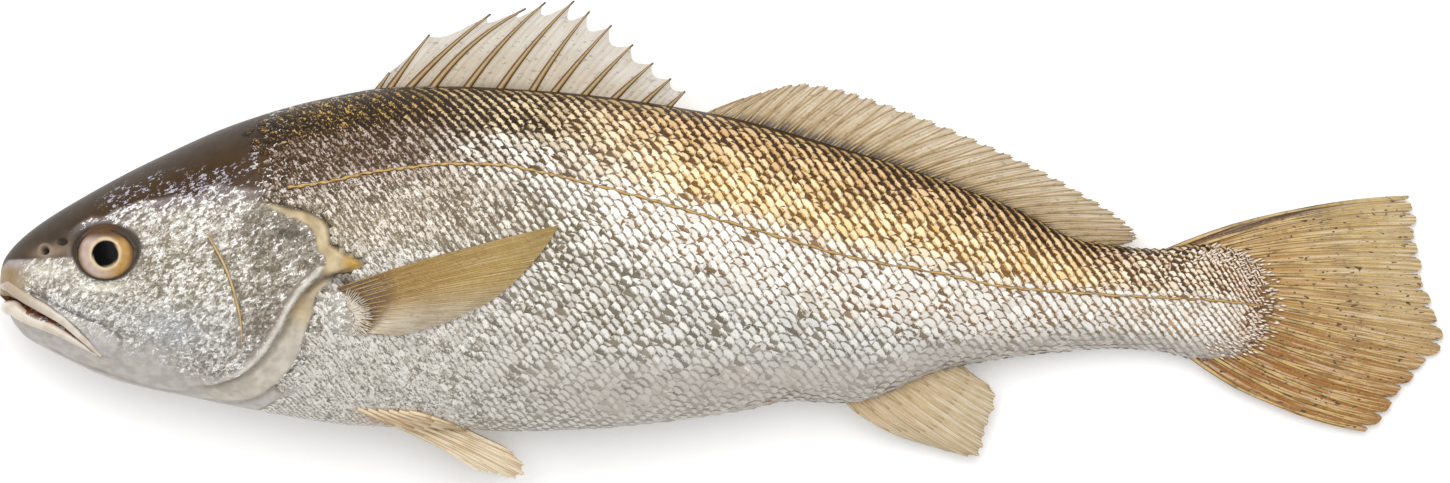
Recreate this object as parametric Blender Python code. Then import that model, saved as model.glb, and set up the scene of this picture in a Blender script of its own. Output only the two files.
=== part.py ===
"""A whole raw fish of the drum family, lying on its right side with its left side up.

Lengths are in millimetres until the meshes are written in metres. In the fish's own frame x runs
back from the snout tip, y runs from belly to back, level with the snout tip at 0, and z rises
from the table. A last step moves the origin under the middle of the fish's box.
"""

import math

import bmesh
import bpy
import numpy as np
from mathutils import Vector

MM = 0.001

# Outline of the body seen from its left side: (distance behind the snout tip, height).
BACK_LINE = (
    (0, -4), (0.5, 1.3), (1.2, 3.4), (3.2, 6.4), (9, 11.9), (22.9, 20.9), (46, 33.1), (69.3, 43.2), (92.5, 49.9),
    (115.7, 53.6), (130.2, 53.8), (160, 52.3), (202.7, 46.7), (246.2, 35.4), (289.7, 20.3), (318.7, 7.8),
    (336, 6.4), (348, 8), (356, 7.2), (362, 4.8), (367, 0), (371, -8.6),
)
BELLY_LINE = (
    (0, -4), (0.5, -10.6), (1.2, -12.8), (5.5, -17.4), (17.1, -24), (34.5, -31.6), (57.7, -36.7), (80.9, -41.3),
    (102.7, -44.3), (130, -45.2), (150.5, -45.9), (173.7, -45.1), (202.7, -41.9), (217, -39.6), (228.8, -37.3),
    (246, -37.6), (275.2, -27.6), (307, -22.9), (324.5, -21.8), (336, -22.6), (348, -25), (357, -24.8),
    (363, -22.4), (368, -17.6), (371, -8.6),
)
HALF_WIDTH = (
    (0, 0), (1.2, 5), (4, 8), (10, 11.3), (20, 14.8), (31, 17.5), (50, 20.7), (70, 22.8), (95, 24.2),
    (125, 24.8), (165, 23.8), (200, 21), (245, 16), (290, 10.7), (325, 7.4), (345, 5.2), (360, 3), (371, 1),
)
# Height of the body's middle plane above the table: a limp fish lies along its flank, tail down.
MIDDLE_HEIGHT = ((0, 20.6), (40, 22.4), (80, 23.2), (125, 23.8), (165, 22.8), (200, 20.4), (245, 16.4),
                 (290, 12), (330, 8), (370, 4.4), (421, 1.6))
FLESH_END = 371.0
HEAD_LENGTH = 100.0
HEAD_STATIONS = 22
TRUNK_STATIONS = 22
AROUND = 32
# The flank is pressed flat on the table, and a little higher in front, where a fin lies under it.
PRESSED_HEIGHT = ((0, 0.5), (164, 0.5), (172, 0), (421, 0))

EYE_CENTRE = (30.8, 5.3)
EYE_RADIUS = 9.0
EYE_DEPTH = 6.0
EYE_STANDS_PROUD = 1.2
SOCKET_GAP = 0.35
NOSTRIL = (13.3, 6.6, 1.1)
REAR_NOSTRIL = (16.6, 9.0, 0.8)
NOSTRIL_DEPTH = 2.0

# Rear edge of the gill cover, from the top of its slit round to the throat.
GILL_COVER_EDGE = (
    (72.2, 20.9), (78.3, 20.3), (84.1, 18.6), (90, 17.4), (94, 15.4), (96, 12), (96, 8.8), (99.4, 5.8),
    (105.4, 2.4), (99.6, 0.2), (93.4, -1.8), (89.6, -4.8), (87, -8.1), (84.7, -11.9), (82.7, -16),
    (79.8, -20.3), (76.9, -24.1), (71.6, -28.6), (64, -31.4), (54, -33),
)
GILL_COVER_FRONT = (
    (70, 15), (72, 14), (75, 12.6), (78, 11), (80, 9.4), (81, 7.8), (81.4, 6), (81.6, 4),
    (81.4, 2), (80.8, 0), (80, -2), (78.8, -4), (77.4, -6.4), (75, -9.4), (73, -12), (71, -15), (68, -18.4),
    (64, -22), (58, -25.4), (50, -28.6),
)
GILL_COVER_LIFT = 1.5
GILL_MEMBRANE_EDGE = (
    (94, -3.4), (91.6, -7.2), (90.8, -12.2), (89.3, -16.8), (87.8, -21.6), (85, -27), (80.4, -32), (74.5, -35.6),
    (66, -37.2), (56, -35.6),
)
GILL_MEMBRANE_FRONT = (
    (86, -2), (83, -6), (80.6, -10.4), (78, -15), (75, -19.6), (71, -24), (66, -27.4), (60.6, -29.6),
    (55, -30), (49, -29.6),
)
GILL_MEMBRANE_LIFT = 0.9
CHEEK_EDGE = (
    (60, 12.5), (62, 9), (64.6, 4.6), (67, -0.6), (69, -7), (70.4, -13.4), (70.8, -19), (68.7, -24),
)
CHEEK_FRONT = (
    (54, 11), (55.4, 7.6), (57, 3.4), (58.4, -1.4), (59.6, -6.8), (60.4, -12.4), (60.6, -17), (60, -21.6),
)
CHEEK_LIFT = 0.8
SLAB_DEPTH = 3.0

# The mouth, from its front to its corner under the eye.
UPPER_LIP = ((1.2, -4.6), (4.5, -6.2), (9, -8.7), (14, -11.6), (18.6, -14.8), (24.5, -19.4), (29.6, -23.6))
UPPER_LIP_RADIUS = (1.7, 1.8, 1.8, 1.8, 1.5, 1.1, 0.7)
LOWER_LIP = ((1.6, -10.4), (5, -11.4), (9.5, -14), (14, -15.9), (18.4, -18), (23.6, -21), (28.6, -24))
LOWER_LIP_RADIUS = (2.4, 2.5, 2.4, 2.2, 1.8, 1.3, 0.7)
LIP_POINTS = 11
LIP_SINK = 0.75
MOUTH_GAPE = (
    (-3, -6.4), (3, -7), (6, -8.4), (11.6, -11.8), (17.6, -14.9), (17.2, -15.7), (11.6, -12.9), (7, -11), (3, -8.2),
    (-3, -8),
)
JAW_PLATE_TOP = ((14.5, -8.4), (20.3, -11.6), (26.1, -13.9), (30, -15.4), (34.2, -18), (35.8, -20), (34.8, -22.8))
JAW_PLATE_FOOT = ((15, -9.8), (19, -13.2), (23.2, -16.4), (26.4, -19.8), (29, -22.6), (30.4, -24.2), (33, -25))
JAW_PLATE_LIFT = 0.8

# Each spine of the front back fin: base along the back, tip, and how far it bows forward.
SPINES = (
    (109, 113, 57.8, 0), (112.6, 124.6, 68.8, 0.3), (117.6, 142.3, 74.8, 1), (125, 152.5, 76.4, 2.6),
    (135, 158.2, 78.2, 1.4), (144.6, 166.5, 78.6, 1.2), (154.2, 171, 75.6, 0.8), (160, 177.4, 71.6, 0.5),
    (168.6, 183.6, 66, 0.4), (176.8, 189.4, 60.6, 0.3), (185.4, 194.6, 56.1, 0.2), (192.8, 198.7, 52.4, 0.1),
)
SPINE_THICKNESS = 2.2
SPINE_TIP_SHARE = 0.35
SPINE_SHEET = ((0.12, 0.95), (0.5, 0.86), (0.88, 0.86))
SPINE_SAG = 4.0

# The rear back fin: along its base, and the line of its ray tips.
SOFT_RAYS = 26
SOFT_BASE = (202, 316)
SOFT_TIPS = (
    (215.2, 50.2), (224.8, 53.4), (233.2, 55.2), (243.9, 53.6), (252, 51.2), (263, 47.3), (274.3, 42.9),
    (286.2, 37.7), (296, 33.2), (306, 28.2), (316, 22.4), (324.8, 16.8), (330, 12.2), (330.9, 9.6), (326, 8),
)
SOFT_THICKNESS = 1.7
SOFT_SAG = 2.0

# The tail fin: fan of rays from the fleshy tail root to the line of its tips.
TAIL_RAYS = 17
TAIL_ROOT = ((337, 5.4), (349, 5.2), (356, 0.6), (359, -6), (359, -12), (354, -19.4), (345, -24))
TAIL_TIPS = (
    (404.6, 22.4), (411.2, 19.7), (412.1, 12.3), (412.4, 7.3), (413.3, 0.3), (415, -5.8), (418.5, -12.8),
    (420.2, -20), (415.3, -25.8), (410.4, -31.4), (406.6, -36.5), (401.9, -42.4), (397.3, -47),
)
TAIL_UPPER_BOW = 1.4
TAIL_LOWER_BOW = 3.6
TAIL_THICKNESS = 1.9
TAIL_NOTCHES = (0.0, 0.03, 0.015, 0.05, 0.02)

# The fin under the tail, behind the vent.
ANAL_RAYS = 11
ANAL_BASE = ((242.6, -34.6), (275, -23.6))
ANAL_TIPS = (
    (268.3, -49.9), (276, -52.4), (283, -54.2), (285.4, -51.6), (285.8, -47.3), (287.1, -43.4), (289.3, -37.6),
    (287.7, -33.6), (282.4, -30.2),
)
ANAL_FRONT_BOW = 2.6
ANAL_THICKNESS = 1.7
ANAL_TIP_HEIGHT = 5.0

# The paired belly fins.
PELVIC_RAYS = 6
PELVIC_BASE = ((104, -39.4), (119, -40.4))
PELVIC_TIPS = ((138.4, -57.6), (151, -60.2), (152.8, -57.4), (150, -53), (139, -47.6))
PELVIC_THICKNESS = 1.8
PELVIC_SPREAD = 5.0
PELVIC_TIP_HEIGHTS = {1: 9.0, -1: 3.0}
PELVIC_TUCK = 0.94

# The paired side fins, which lie back along the flanks.
PECTORAL_RAYS = 10
PECTORAL_BASE = ((98.4, -4.6), (101.6, -6.8), (104.2, -9.4), (105.6, -12.2), (105.8, -15), (104.8, -17.2))
PECTORAL_TIPS = ((162.4, 13.6), (160, 9.4), (155, 3), (146, -6), (136, -12), (126, -16), (116, -18.4))
PECTORAL_LIFT = 1.6
PECTORAL_DEPTH = 3.0
PECTORAL_RIDGE = 0.45
PECTORAL_LONG_RAY = 40.0

SIDES = {"left": 1, "right": -1}


def smooth_curve(points):
    """A function through (position, value) points that never overshoots between them."""
    at = np.array([p[0] for p in points], float)
    value = np.array([p[1] for p in points], float)
    step = np.diff(at)
    rise = np.diff(value) / step
    slope = np.zeros(len(at))
    for i in range(1, len(at) - 1):
        if rise[i - 1] * rise[i] > 0:
            before = 2 * step[i] + step[i - 1]
            after = step[i] + 2 * step[i - 1]
            slope[i] = (before + after) / (before / rise[i - 1] + after / rise[i])
    slope[0] = rise[0]
    slope[-1] = rise[-1]

    def read(x):
        x = min(max(x, at[0]), at[-1])
        i = min(int(np.searchsorted(at, x, side="right")) - 1, len(at) - 2)
        t = (x - at[i]) / step[i]
        return float(
            value[i] * (1 + 2 * t) * (1 - t) ** 2
            + slope[i] * step[i] * t * (1 - t) ** 2
            + value[i + 1] * t * t * (3 - 2 * t)
            + slope[i + 1] * step[i] * t * t * (t - 1)
        )

    return read


def blunt_curve(points):
    """A smooth curve whose start is round, as a snout is: it is smooth against the root of x."""
    read = smooth_curve([(math.sqrt(x), value) for x, value in points])
    return lambda x: read(math.sqrt(max(x, 0.0)))


back_at = blunt_curve(BACK_LINE)
belly_at = blunt_curve(BELLY_LINE)
half_width_at = blunt_curve(HALF_WIDTH)
middle_at = smooth_curve(MIDDLE_HEIGHT)
pressed_at = smooth_curve(PRESSED_HEIGHT)


def flank_point(x, share, side):
    """A point of the skin at a share of the body's height, 0 at the belly and 1 at the back."""
    back = back_at(x)
    belly = belly_at(x)
    bulge = 2 * math.sqrt(max(share * (1 - share), 0.0))
    z = middle_at(x) + side * half_width_at(x) * bulge
    return x, belly + share * (back - belly), max(z, pressed_at(x))


def flank_height(x, y, side):
    """Height above the table of the skin over the plan point x, y."""
    x = min(max(x, 0.05), FLESH_END)
    back = back_at(x)
    belly = belly_at(x)
    share = min(max((y - belly) / (back - belly), 0.0), 1.0)
    return flank_point(x, share, side)[2]


def along(points, share):
    """The plan point at a share of the length of a line through points."""
    ends = [Vector(p) for p in points]
    lengths = [(b - a).length for a, b in zip(ends, ends[1:])]
    travel = share * sum(lengths)
    for start, end, length in zip(ends, ends[1:], lengths):
        if travel <= length or end is ends[-1]:
            return start.lerp(end, min(travel / length, 1.0))
        travel -= length
    return ends[-1]


def smooth_along(points, share):
    """The plan point at a share of a smooth line through points."""
    last = len(points) - 1
    read_x = smooth_curve([(i / last, p[0]) for i, p in enumerate(points)])
    read_y = smooth_curve([(i / last, p[1]) for i, p in enumerate(points)])
    return Vector((read_x(share), read_y(share)))


def new_object(name, bm, collection=None):
    """An object in metres from a bmesh in millimetres, with its faces pointing out."""
    bmesh.ops.recalc_face_normals(bm, faces=bm.faces)
    if bm.calc_volume(signed=True) < 0:
        bmesh.ops.reverse_faces(bm, faces=bm.faces)
    bmesh.ops.scale(bm, vec=(MM, MM, MM), verts=bm.verts)
    mesh = bpy.data.meshes.new(name)
    bm.to_mesh(mesh)
    bm.free()
    made = bpy.data.objects.new(name, mesh)
    (collection or bpy.context.scene.collection).objects.link(made)
    return made


def material(name, colour, roughness, metallic=0.0):
    """A Principled material of one colour."""
    made = bpy.data.materials.new(name)
    made.use_nodes = True
    shader = made.node_tree.nodes["Principled BSDF"]
    shader.inputs["Base Color"].default_value = (*colour, 1.0)
    shader.inputs["Roughness"].default_value = roughness
    shader.inputs["Metallic"].default_value = metallic
    return made


def body_solid():
    """The body from snout to tail root: rings of skin points, bridged one to the next."""
    head = HEAD_LENGTH * np.linspace(0, 1, HEAD_STATIONS + 1)[1:] ** 1.5
    trunk = np.linspace(HEAD_LENGTH, FLESH_END, TRUNK_STATIONS + 1)[1:]
    bm = bmesh.new()
    rings = []
    for x in (*head, *trunk):
        ring = []
        for k in range(AROUND):
            turn = 2 * math.pi * k / AROUND
            side = 1 if turn < math.pi else -1
            share = (1 - math.cos(turn)) / 2
            ring.append(bm.verts.new(flank_point(x, share, side)))
        rings.append(ring)
    for first, second in zip(rings, rings[1:]):
        for i in range(AROUND):
            bm.faces.new((first[i - 1], first[i], second[i], second[i - 1]))
    snout = bm.verts.new((0, back_at(0), middle_at(0)))
    root = bm.verts.new((FLESH_END + 0.6, back_at(FLESH_END), middle_at(FLESH_END)))
    for tip, ring in ((snout, rings[0]), (root, rings[-1])):
        for a, b in zip(ring, ring[1:] + ring[:1]):
            bm.faces.new((tip, a, b))
    return new_object("fish", bm)


def solidified(made, thickness, offset, weights=None):
    """Gives a sheet its thickness, scaled at each vertex by a weight where weights are given."""
    solid = made.modifiers.new("thickness", "SOLIDIFY")
    solid.thickness = thickness * MM
    solid.offset = offset
    if weights is not None:
        group = made.vertex_groups.new(name="thickness")
        for i, weight in enumerate(weights):
            group.add([i], weight, "REPLACE")
        solid.vertex_group = group.name
        solid.thickness_vertex_group = 0.0
    return made


def sheet_mesh(columns):
    """A bmesh sheet through columns of points, cut into triangles so that both of its sides match."""
    bm = bmesh.new()
    grid = [[bm.verts.new(point) for point in column] for column in columns]
    for left, right in zip(grid, grid[1:]):
        for i in range(len(left) - 1):
            bm.faces.new((left[i], right[i], right[i + 1], left[i + 1]))
    bmesh.ops.triangulate(bm, faces=bm.faces)
    bmesh.ops.recalc_face_normals(bm, faces=bm.faces)
    bm.normal_update()
    return bm


def sheet_object(name, columns, side, collection):
    """A sheet in metres whose faces look to one side of the fish, for a thickness modifier."""
    bm = sheet_mesh(columns)
    if sum(face.normal.z * face.calc_area() for face in bm.faces) * side < 0:
        bmesh.ops.reverse_faces(bm, faces=bm.faces)
    bmesh.ops.scale(bm, vec=(MM, MM, MM), verts=bm.verts)
    mesh = bpy.data.meshes.new(name)
    bm.to_mesh(mesh)
    bm.free()
    made = bpy.data.objects.new(name, mesh)
    collection.objects.link(made)
    return made


def skin_slab(name, edge, front, lift, side, collection, steps=3, front_lift=-0.8):
    """A plate that rises out of the flank from its front line to stand lift above it at its edge."""
    columns = []
    for edge_point, front_point in zip(edge, front):
        column = []
        for i in range(steps + 1):
            t = i / steps
            plan = Vector(front_point).lerp(Vector(edge_point), t)
            rise = front_lift + (lift - front_lift) * math.sin(t * math.pi / 2)
            z = max(flank_height(plan.x, plan.y, side) + side * rise, 0.0)
            column.append((plan.x, plan.y, z))
        columns.append(column)
    return solidified(sheet_object(name, columns, side, collection), SLAB_DEPTH, -1.0)


def ray_points(start, end, bow, rows):
    """Points from a ray's root to its tip in space, bowed sideways in plan."""
    start = Vector(start)
    end = Vector(end)
    across = Vector((-(end.y - start.y), end.x - start.x, 0))
    across.normalize()
    return [
        start.lerp(end, i / rows) + across * bow * 4 * (i / rows) * (1 - i / rows)
        for i in range(rows + 1)
    ]


def fin_columns(rays, rows, between):
    """Columns of points for a fin, with thickness weights: each ray, then the sheet behind it.

    A ray is (root, tip, bow). Between two rays the sheet has a column at each (share, reach),
    where reach is how far out the sheet's edge stands there as a share of the rays' length.
    """
    columns = []
    weights = []
    for k, (root, tip, bow) in enumerate(rays):
        here = ray_points(root, tip, bow, rows)
        columns.append(here)
        weights.append([1 - (1 - SPINE_TIP_SHARE) * i / rows for i in range(rows + 1)])
        if k + 1 == len(rays):
            break
        beyond = ray_points(*rays[k + 1], rows)
        for share, reach in between:
            column = []
            for i in range(rows + 1):
                t = i / rows * reach * rows
                low = min(int(t), rows - 1)
                a = here[low].lerp(here[low + 1], t - low)
                b = beyond[low].lerp(beyond[low + 1], t - low)
                column.append(a.lerp(b, share))
            columns.append(column)
            weights.append([0.36] * (rows + 1))
    return columns, [w for column in weights for w in column]


def fin_solid(name, rays, rows, between, thickness, collection):
    """A fin of bony rays joined by a thin sheet, as one closed solid."""
    columns, weights = fin_columns(rays, rows, between)
    return solidified(sheet_object(name, columns, 1, collection), thickness, 0.0, weights)


def spiny_fin(collection):
    """The front back fin: separate spines that stand past the edge of their sheet."""
    rays = []
    for base, tip_x, tip_y, bow in SPINES:
        sink = 3.5
        root = (base - 0.8 * sink * 0.6, back_at(base) - sink, middle_at(base))
        sag = SPINE_SAG * (tip_y - back_at(base)) / 25
        rays.append((root, (tip_x, tip_y, middle_at(base) - sag), bow))
    return fin_solid("spiny_fin", rays, 4, SPINE_SHEET, SPINE_THICKNESS, collection)


def soft_fin(collection):
    """The rear back fin: close rays that lean back, shorter towards the tail."""
    rays = []
    for k in range(SOFT_RAYS):
        share = k / (SOFT_RAYS - 1)
        base = SOFT_BASE[0] + share * (SOFT_BASE[1] - SOFT_BASE[0])
        tip = smooth_along(SOFT_TIPS, share)
        z = middle_at(base)
        rays.append(((base - 2, back_at(base) - 4, z), (tip.x, tip.y, z - SOFT_SAG), 0.6))
    return fin_solid("soft_fin", rays, 3, ((0.5, 0.96),), SOFT_THICKNESS, collection)


def tail_fin(collection):
    """The tail fin: a fan of rays, its outer rays bowed, its edge notched."""
    rays = []
    for k in range(TAIL_RAYS):
        share = k / (TAIL_RAYS - 1)
        root = smooth_along(TAIL_ROOT, share)
        tip = smooth_along(TAIL_TIPS, share)
        notch = TAIL_NOTCHES[k % len(TAIL_NOTCHES)]
        tip = tip.lerp(root, notch)
        bow = TAIL_UPPER_BOW * (1 - share) ** 3 - TAIL_LOWER_BOW * share**3
        rays.append(((*root, middle_at(root.x)), (*tip, middle_at(tip.x)), bow))
    return fin_solid("tail_fin", rays, 5, ((0.5, 0.985),), TAIL_THICKNESS, collection)


def anal_fin(collection):
    """The fin behind the vent, which droops towards the table."""
    rays = []
    for k in range(ANAL_RAYS):
        share = k / (ANAL_RAYS - 1)
        root = Vector(ANAL_BASE[0]).lerp(Vector(ANAL_BASE[1]), share)
        tip = smooth_along(ANAL_TIPS, share)
        bow = -ANAL_FRONT_BOW * (1 - share) ** 3
        rays.append(((*root, middle_at(root.x)), (*tip, ANAL_TIP_HEIGHT + 3 * share), bow))
    return fin_solid("anal_fin", rays, 4, ((0.5, 0.97),), ANAL_THICKNESS, collection)


def pelvic_fin(side, collection):
    """One of the paired belly fins. The lower one is tucked under the upper one."""
    rays = []
    reach = 1.0 if side > 0 else PELVIC_TUCK
    for k in range(PELVIC_RAYS):
        share = k / (PELVIC_RAYS - 1)
        root = Vector(PELVIC_BASE[0]).lerp(Vector(PELVIC_BASE[1]), share)
        tip = root.lerp(smooth_along(PELVIC_TIPS, share), reach)
        z = middle_at(root.x) + side * PELVIC_SPREAD
        rays.append(((*root, z), (*tip, PELVIC_TIP_HEIGHTS[side]), 0.8))
    return fin_solid(f"pelvic_fin_{side}", rays, 5, ((0.5, 0.97),), PELVIC_THICKNESS, collection)


def pectoral_fin(side, collection):
    """One of the paired side fins, lying back along the flank and ridged by its rays."""
    columns = []
    rows = 6
    count = 2 * PECTORAL_RAYS - 1
    for k in range(count):
        share = k / (count - 1)
        root = smooth_along(PECTORAL_BASE, share)
        tip = smooth_along(PECTORAL_TIPS, share)
        ridge = PECTORAL_RIDGE * min((tip - root).length / PECTORAL_LONG_RAY, 1.0) * (1 - k % 2)
        column = []
        for i in range(rows + 1):
            t = i / rows
            plan = root.lerp(tip, t) + Vector((0, 1)) * 3.5 * t * (1 - t) * (1 - share)
            lift = -0.6 + (PECTORAL_LIFT + 0.6) * min(t * 4, 1) + ridge * (1 - 0.5 * t)
            z = max(flank_height(plan.x, plan.y, side) + side * lift, 0.0)
            column.append((plan.x, plan.y, z))
        columns.append(column)
    made = sheet_object(f"pectoral_fin_{side}", columns, side, collection)
    return solidified(made, PECTORAL_DEPTH, -1.0)


def lip(name, path, radii, collection):
    """A rolled lip from one corner of the mouth, round the front of the jaw, to the other."""
    shares = [i / (LIP_POINTS - 1) for i in range(LIP_POINTS)]
    plan = [smooth_along(path, share) for share in shares]
    radius_at = smooth_curve([(i / (len(radii) - 1), radius) for i, radius in enumerate(radii)])
    radii = [radius_at(share) for share in shares]
    left = [(*p, flank_height(p.x, p.y, 1) - LIP_SINK * r) for p, r in zip(plan, radii)]
    right = [(*p, flank_height(p.x, p.y, -1) + LIP_SINK * r) for p, r in zip(plan, radii)]
    front = (plan[0].x - 0.4, plan[0].y, middle_at(0))
    points = [*reversed(left), front, *right]
    sizes = [*reversed(radii), radii[0], *radii]
    curve = bpy.data.curves.new(name, "CURVE")
    curve.dimensions = "3D"
    curve.bevel_depth = MM
    curve.bevel_resolution = 2
    curve.use_fill_caps = True
    spline = curve.splines.new("POLY")
    spline.points.add(len(points) - 1)
    for point, place, size in zip(spline.points, points, sizes):
        point.co = (*(Vector(place) * MM), 1.0)
        point.radius = size
    swept = bpy.data.objects.new(name, curve)
    bpy.context.scene.collection.objects.link(swept)
    bpy.context.view_layer.update()
    reader = bpy.context.evaluated_depsgraph_get()
    mesh = bpy.data.meshes.new_from_object(swept.evaluated_get(reader))
    bpy.data.objects.remove(swept)
    bm = bmesh.new()
    bm.from_mesh(mesh)
    bmesh.ops.remove_doubles(bm, verts=bm.verts, dist=0.01 * MM)
    bmesh.ops.recalc_face_normals(bm, faces=bm.faces)
    bm.to_mesh(mesh)
    bm.free()
    made = bpy.data.objects.new(name, mesh)
    collection.objects.link(made)
    return made


def eye_place(side):
    """The middle of an eyeball, which stands a little proud of the cheek."""
    x, y = EYE_CENTRE
    z = flank_height(x, y, side) + side * (EYE_STANDS_PROUD - EYE_DEPTH)
    return Vector((x, y, z))


def eyeball(name, side, grow=0.0, collection=None):
    """A flattened ball, grown all round where it is the cutter of its own socket."""
    bm = bmesh.new()
    bmesh.ops.create_uvsphere(bm, u_segments=18, v_segments=10, radius=1)
    size = (EYE_RADIUS + grow, EYE_RADIUS + grow, EYE_DEPTH + grow)
    bmesh.ops.scale(bm, vec=size, verts=bm.verts)
    bmesh.ops.translate(bm, vec=eye_place(side), verts=bm.verts)
    return new_object(name, bm, collection)


def nostril_cutter(place, side, collection):
    """A short drill for one nostril."""
    x, y, radius = place
    bm = bmesh.new()
    bmesh.ops.create_cone(bm, cap_ends=True, segments=8, radius1=radius, radius2=radius, depth=2 * NOSTRIL_DEPTH)
    bmesh.ops.translate(bm, vec=(x, y, flank_height(x, y, side)), verts=bm.verts)
    return new_object("nostril_cutter", bm, collection)


def mouth_cutter(collection):
    """The open slot between the lips, right through from side to side."""
    bm = bmesh.new()
    low = [bm.verts.new((x, y, -10)) for x, y in MOUTH_GAPE]
    face = bm.faces.new(low)
    raised = bmesh.ops.extrude_face_region(bm, geom=[face])
    top = [v for v in raised["geom"] if isinstance(v, bmesh.types.BMVert)]
    bmesh.ops.translate(bm, vec=(0, 0, 70), verts=top)
    return new_object("mouth_cutter", bm, collection)


def combined(made, operation, collection):
    """Applies one Boolean with a whole collection, and removes that collection's objects."""
    join = made.modifiers.new(operation.lower(), "BOOLEAN")
    join.operation = operation
    join.operand_type = "COLLECTION"
    join.collection = collection
    join.solver = "MANIFOLD"
    bpy.context.view_layer.update()
    reader = bpy.context.evaluated_depsgraph_get()
    mesh = bpy.data.meshes.new_from_object(made.evaluated_get(reader))
    made.modifiers.clear()
    made.data = mesh
    for used in list(collection.objects):
        bpy.data.objects.remove(used)
    bpy.data.collections.remove(collection)
    return made


def new_collection(name):
    """A collection under the scene's own."""
    made = bpy.data.collections.new(name)
    bpy.context.scene.collection.children.link(made)
    return made


def centre_on_table(objects):
    """Moves all the meshes so that the origin is on the table under the middle of their box."""
    corners = [v.co for made in objects for v in made.data.vertices]
    low = Vector([min(c[i] for c in corners) for i in range(3)])
    high = Vector([max(c[i] for c in corners) for i in range(3)])
    shift = Vector((-(low.x + high.x) / 2, -(low.y + high.y) / 2, -low.z))
    for made in objects:
        for vertex in made.data.vertices:
            vertex.co += shift


def main():
    """Builds the fish and its two eyes."""
    for old in list(bpy.data.objects):
        bpy.data.objects.remove(old)

    fish = body_solid()
    joined = new_collection("joined")
    spiny_fin(joined)
    soft_fin(joined)
    tail_fin(joined)
    anal_fin(joined)
    for name, side in SIDES.items():
        skin_slab(f"gill_membrane_{name}", GILL_MEMBRANE_EDGE, GILL_MEMBRANE_FRONT, GILL_MEMBRANE_LIFT, side, joined)
        skin_slab(f"gill_cover_{name}", GILL_COVER_EDGE, GILL_COVER_FRONT, GILL_COVER_LIFT, side, joined)
        skin_slab(f"cheek_{name}", CHEEK_EDGE, CHEEK_FRONT, CHEEK_LIFT, side, joined, 2)
        skin_slab(f"jaw_plate_{name}", JAW_PLATE_FOOT, JAW_PLATE_TOP, JAW_PLATE_LIFT, side, joined, 2, 0.5)
        pectoral_fin(side, joined)
        pelvic_fin(side, joined)
    lip("upper_lip", UPPER_LIP, UPPER_LIP_RADIUS, joined)
    lip("lower_lip", LOWER_LIP, LOWER_LIP_RADIUS, joined)
    combined(fish, "UNION", joined)

    cut = new_collection("cut")
    mouth_cutter(cut)
    for side in SIDES.values():
        eyeball("socket_cutter", side, SOCKET_GAP, cut)
        nostril_cutter(NOSTRIL, side, cut)
        nostril_cutter(REAR_NOSTRIL, side, cut)
    combined(fish, "DIFFERENCE", cut)
    fish.data.materials.clear()
    fish.data.materials.append(material("silver_skin", (0.55, 0.52, 0.46), 0.35, 0.3))

    eyes = [eyeball(f"eye_{name}", side) for name, side in SIDES.items()]
    eye_finish = material("wet_eye", (0.12, 0.09, 0.05), 0.1)
    for eye in eyes:
        eye.data.materials.append(eye_finish)
    for made in (fish, *eyes):
        made.data.shade_smooth()
        made.data.set_sharp_from_angle(angle=math.radians(35))
    centre_on_table([fish, *eyes])


main()
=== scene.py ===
"""Looks of a whole raw fish that lies on its right side on a pale floor.

Sizes are in millimetres in the fish's own frame, as in the solids' source: x runs back from the
snout tip, y from the belly to the back, z up from the table. The last step of each mesh moves
it to the part's frame in metres.
"""

from __future__ import annotations

import logging
import math
from dataclasses import dataclass, field
from enum import Enum
from typing import Callable, Sequence

import bpy
import numpy as np
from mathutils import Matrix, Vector, noise


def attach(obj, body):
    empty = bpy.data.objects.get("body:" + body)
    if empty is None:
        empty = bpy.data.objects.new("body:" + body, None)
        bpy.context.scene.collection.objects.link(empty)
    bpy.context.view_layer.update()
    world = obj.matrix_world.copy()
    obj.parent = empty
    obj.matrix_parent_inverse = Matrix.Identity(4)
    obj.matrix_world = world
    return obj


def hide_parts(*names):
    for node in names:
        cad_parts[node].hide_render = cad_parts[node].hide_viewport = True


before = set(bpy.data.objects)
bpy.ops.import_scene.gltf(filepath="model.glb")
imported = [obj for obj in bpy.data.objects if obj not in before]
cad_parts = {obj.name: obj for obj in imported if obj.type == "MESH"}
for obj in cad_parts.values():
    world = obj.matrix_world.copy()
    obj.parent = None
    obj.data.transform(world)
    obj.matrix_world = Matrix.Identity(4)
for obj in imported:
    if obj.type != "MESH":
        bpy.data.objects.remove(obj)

LOG = logging.getLogger("fish")
MM = 0.001
DIM = 0.86
ORIGIN_SHIFT = np.array((-208.9077, -9.2262, 0.0))
SEED = 41

Pair = tuple[float, float]
Points = Sequence[Pair]
Array = np.ndarray


def srgb(red: float, green: float, blue: float) -> Array:
    """Turns a colour as the lit fish shows it, 0 to 255, into the linear value that gives it."""
    share = np.array((red, green, blue), float) / 255
    return DIM * np.where(share <= 0.04045, share / 12.92, ((share + 0.055) / 1.055) ** 2.4)


def ramp(low: float, high: float, value: Array) -> Array:
    """A smooth step from 0 at low to 1 at high."""
    t = np.clip((value - low) / (high - low), 0, 1)
    return t * t * (3 - 2 * t)


def blend(first: Array, second: Array, share: Array) -> Array:
    """Mixes two sets of colours by a share for each row."""
    share = np.asarray(share)[..., None]
    return first * (1 - share) + second * share


class Side(Enum):
    """The two flanks. The left one faces up."""

    LEFT = 1
    RIGHT = -1

    @property
    def word(self) -> str:
        """The side's name as pieces use it."""
        return self.name.lower()


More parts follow.
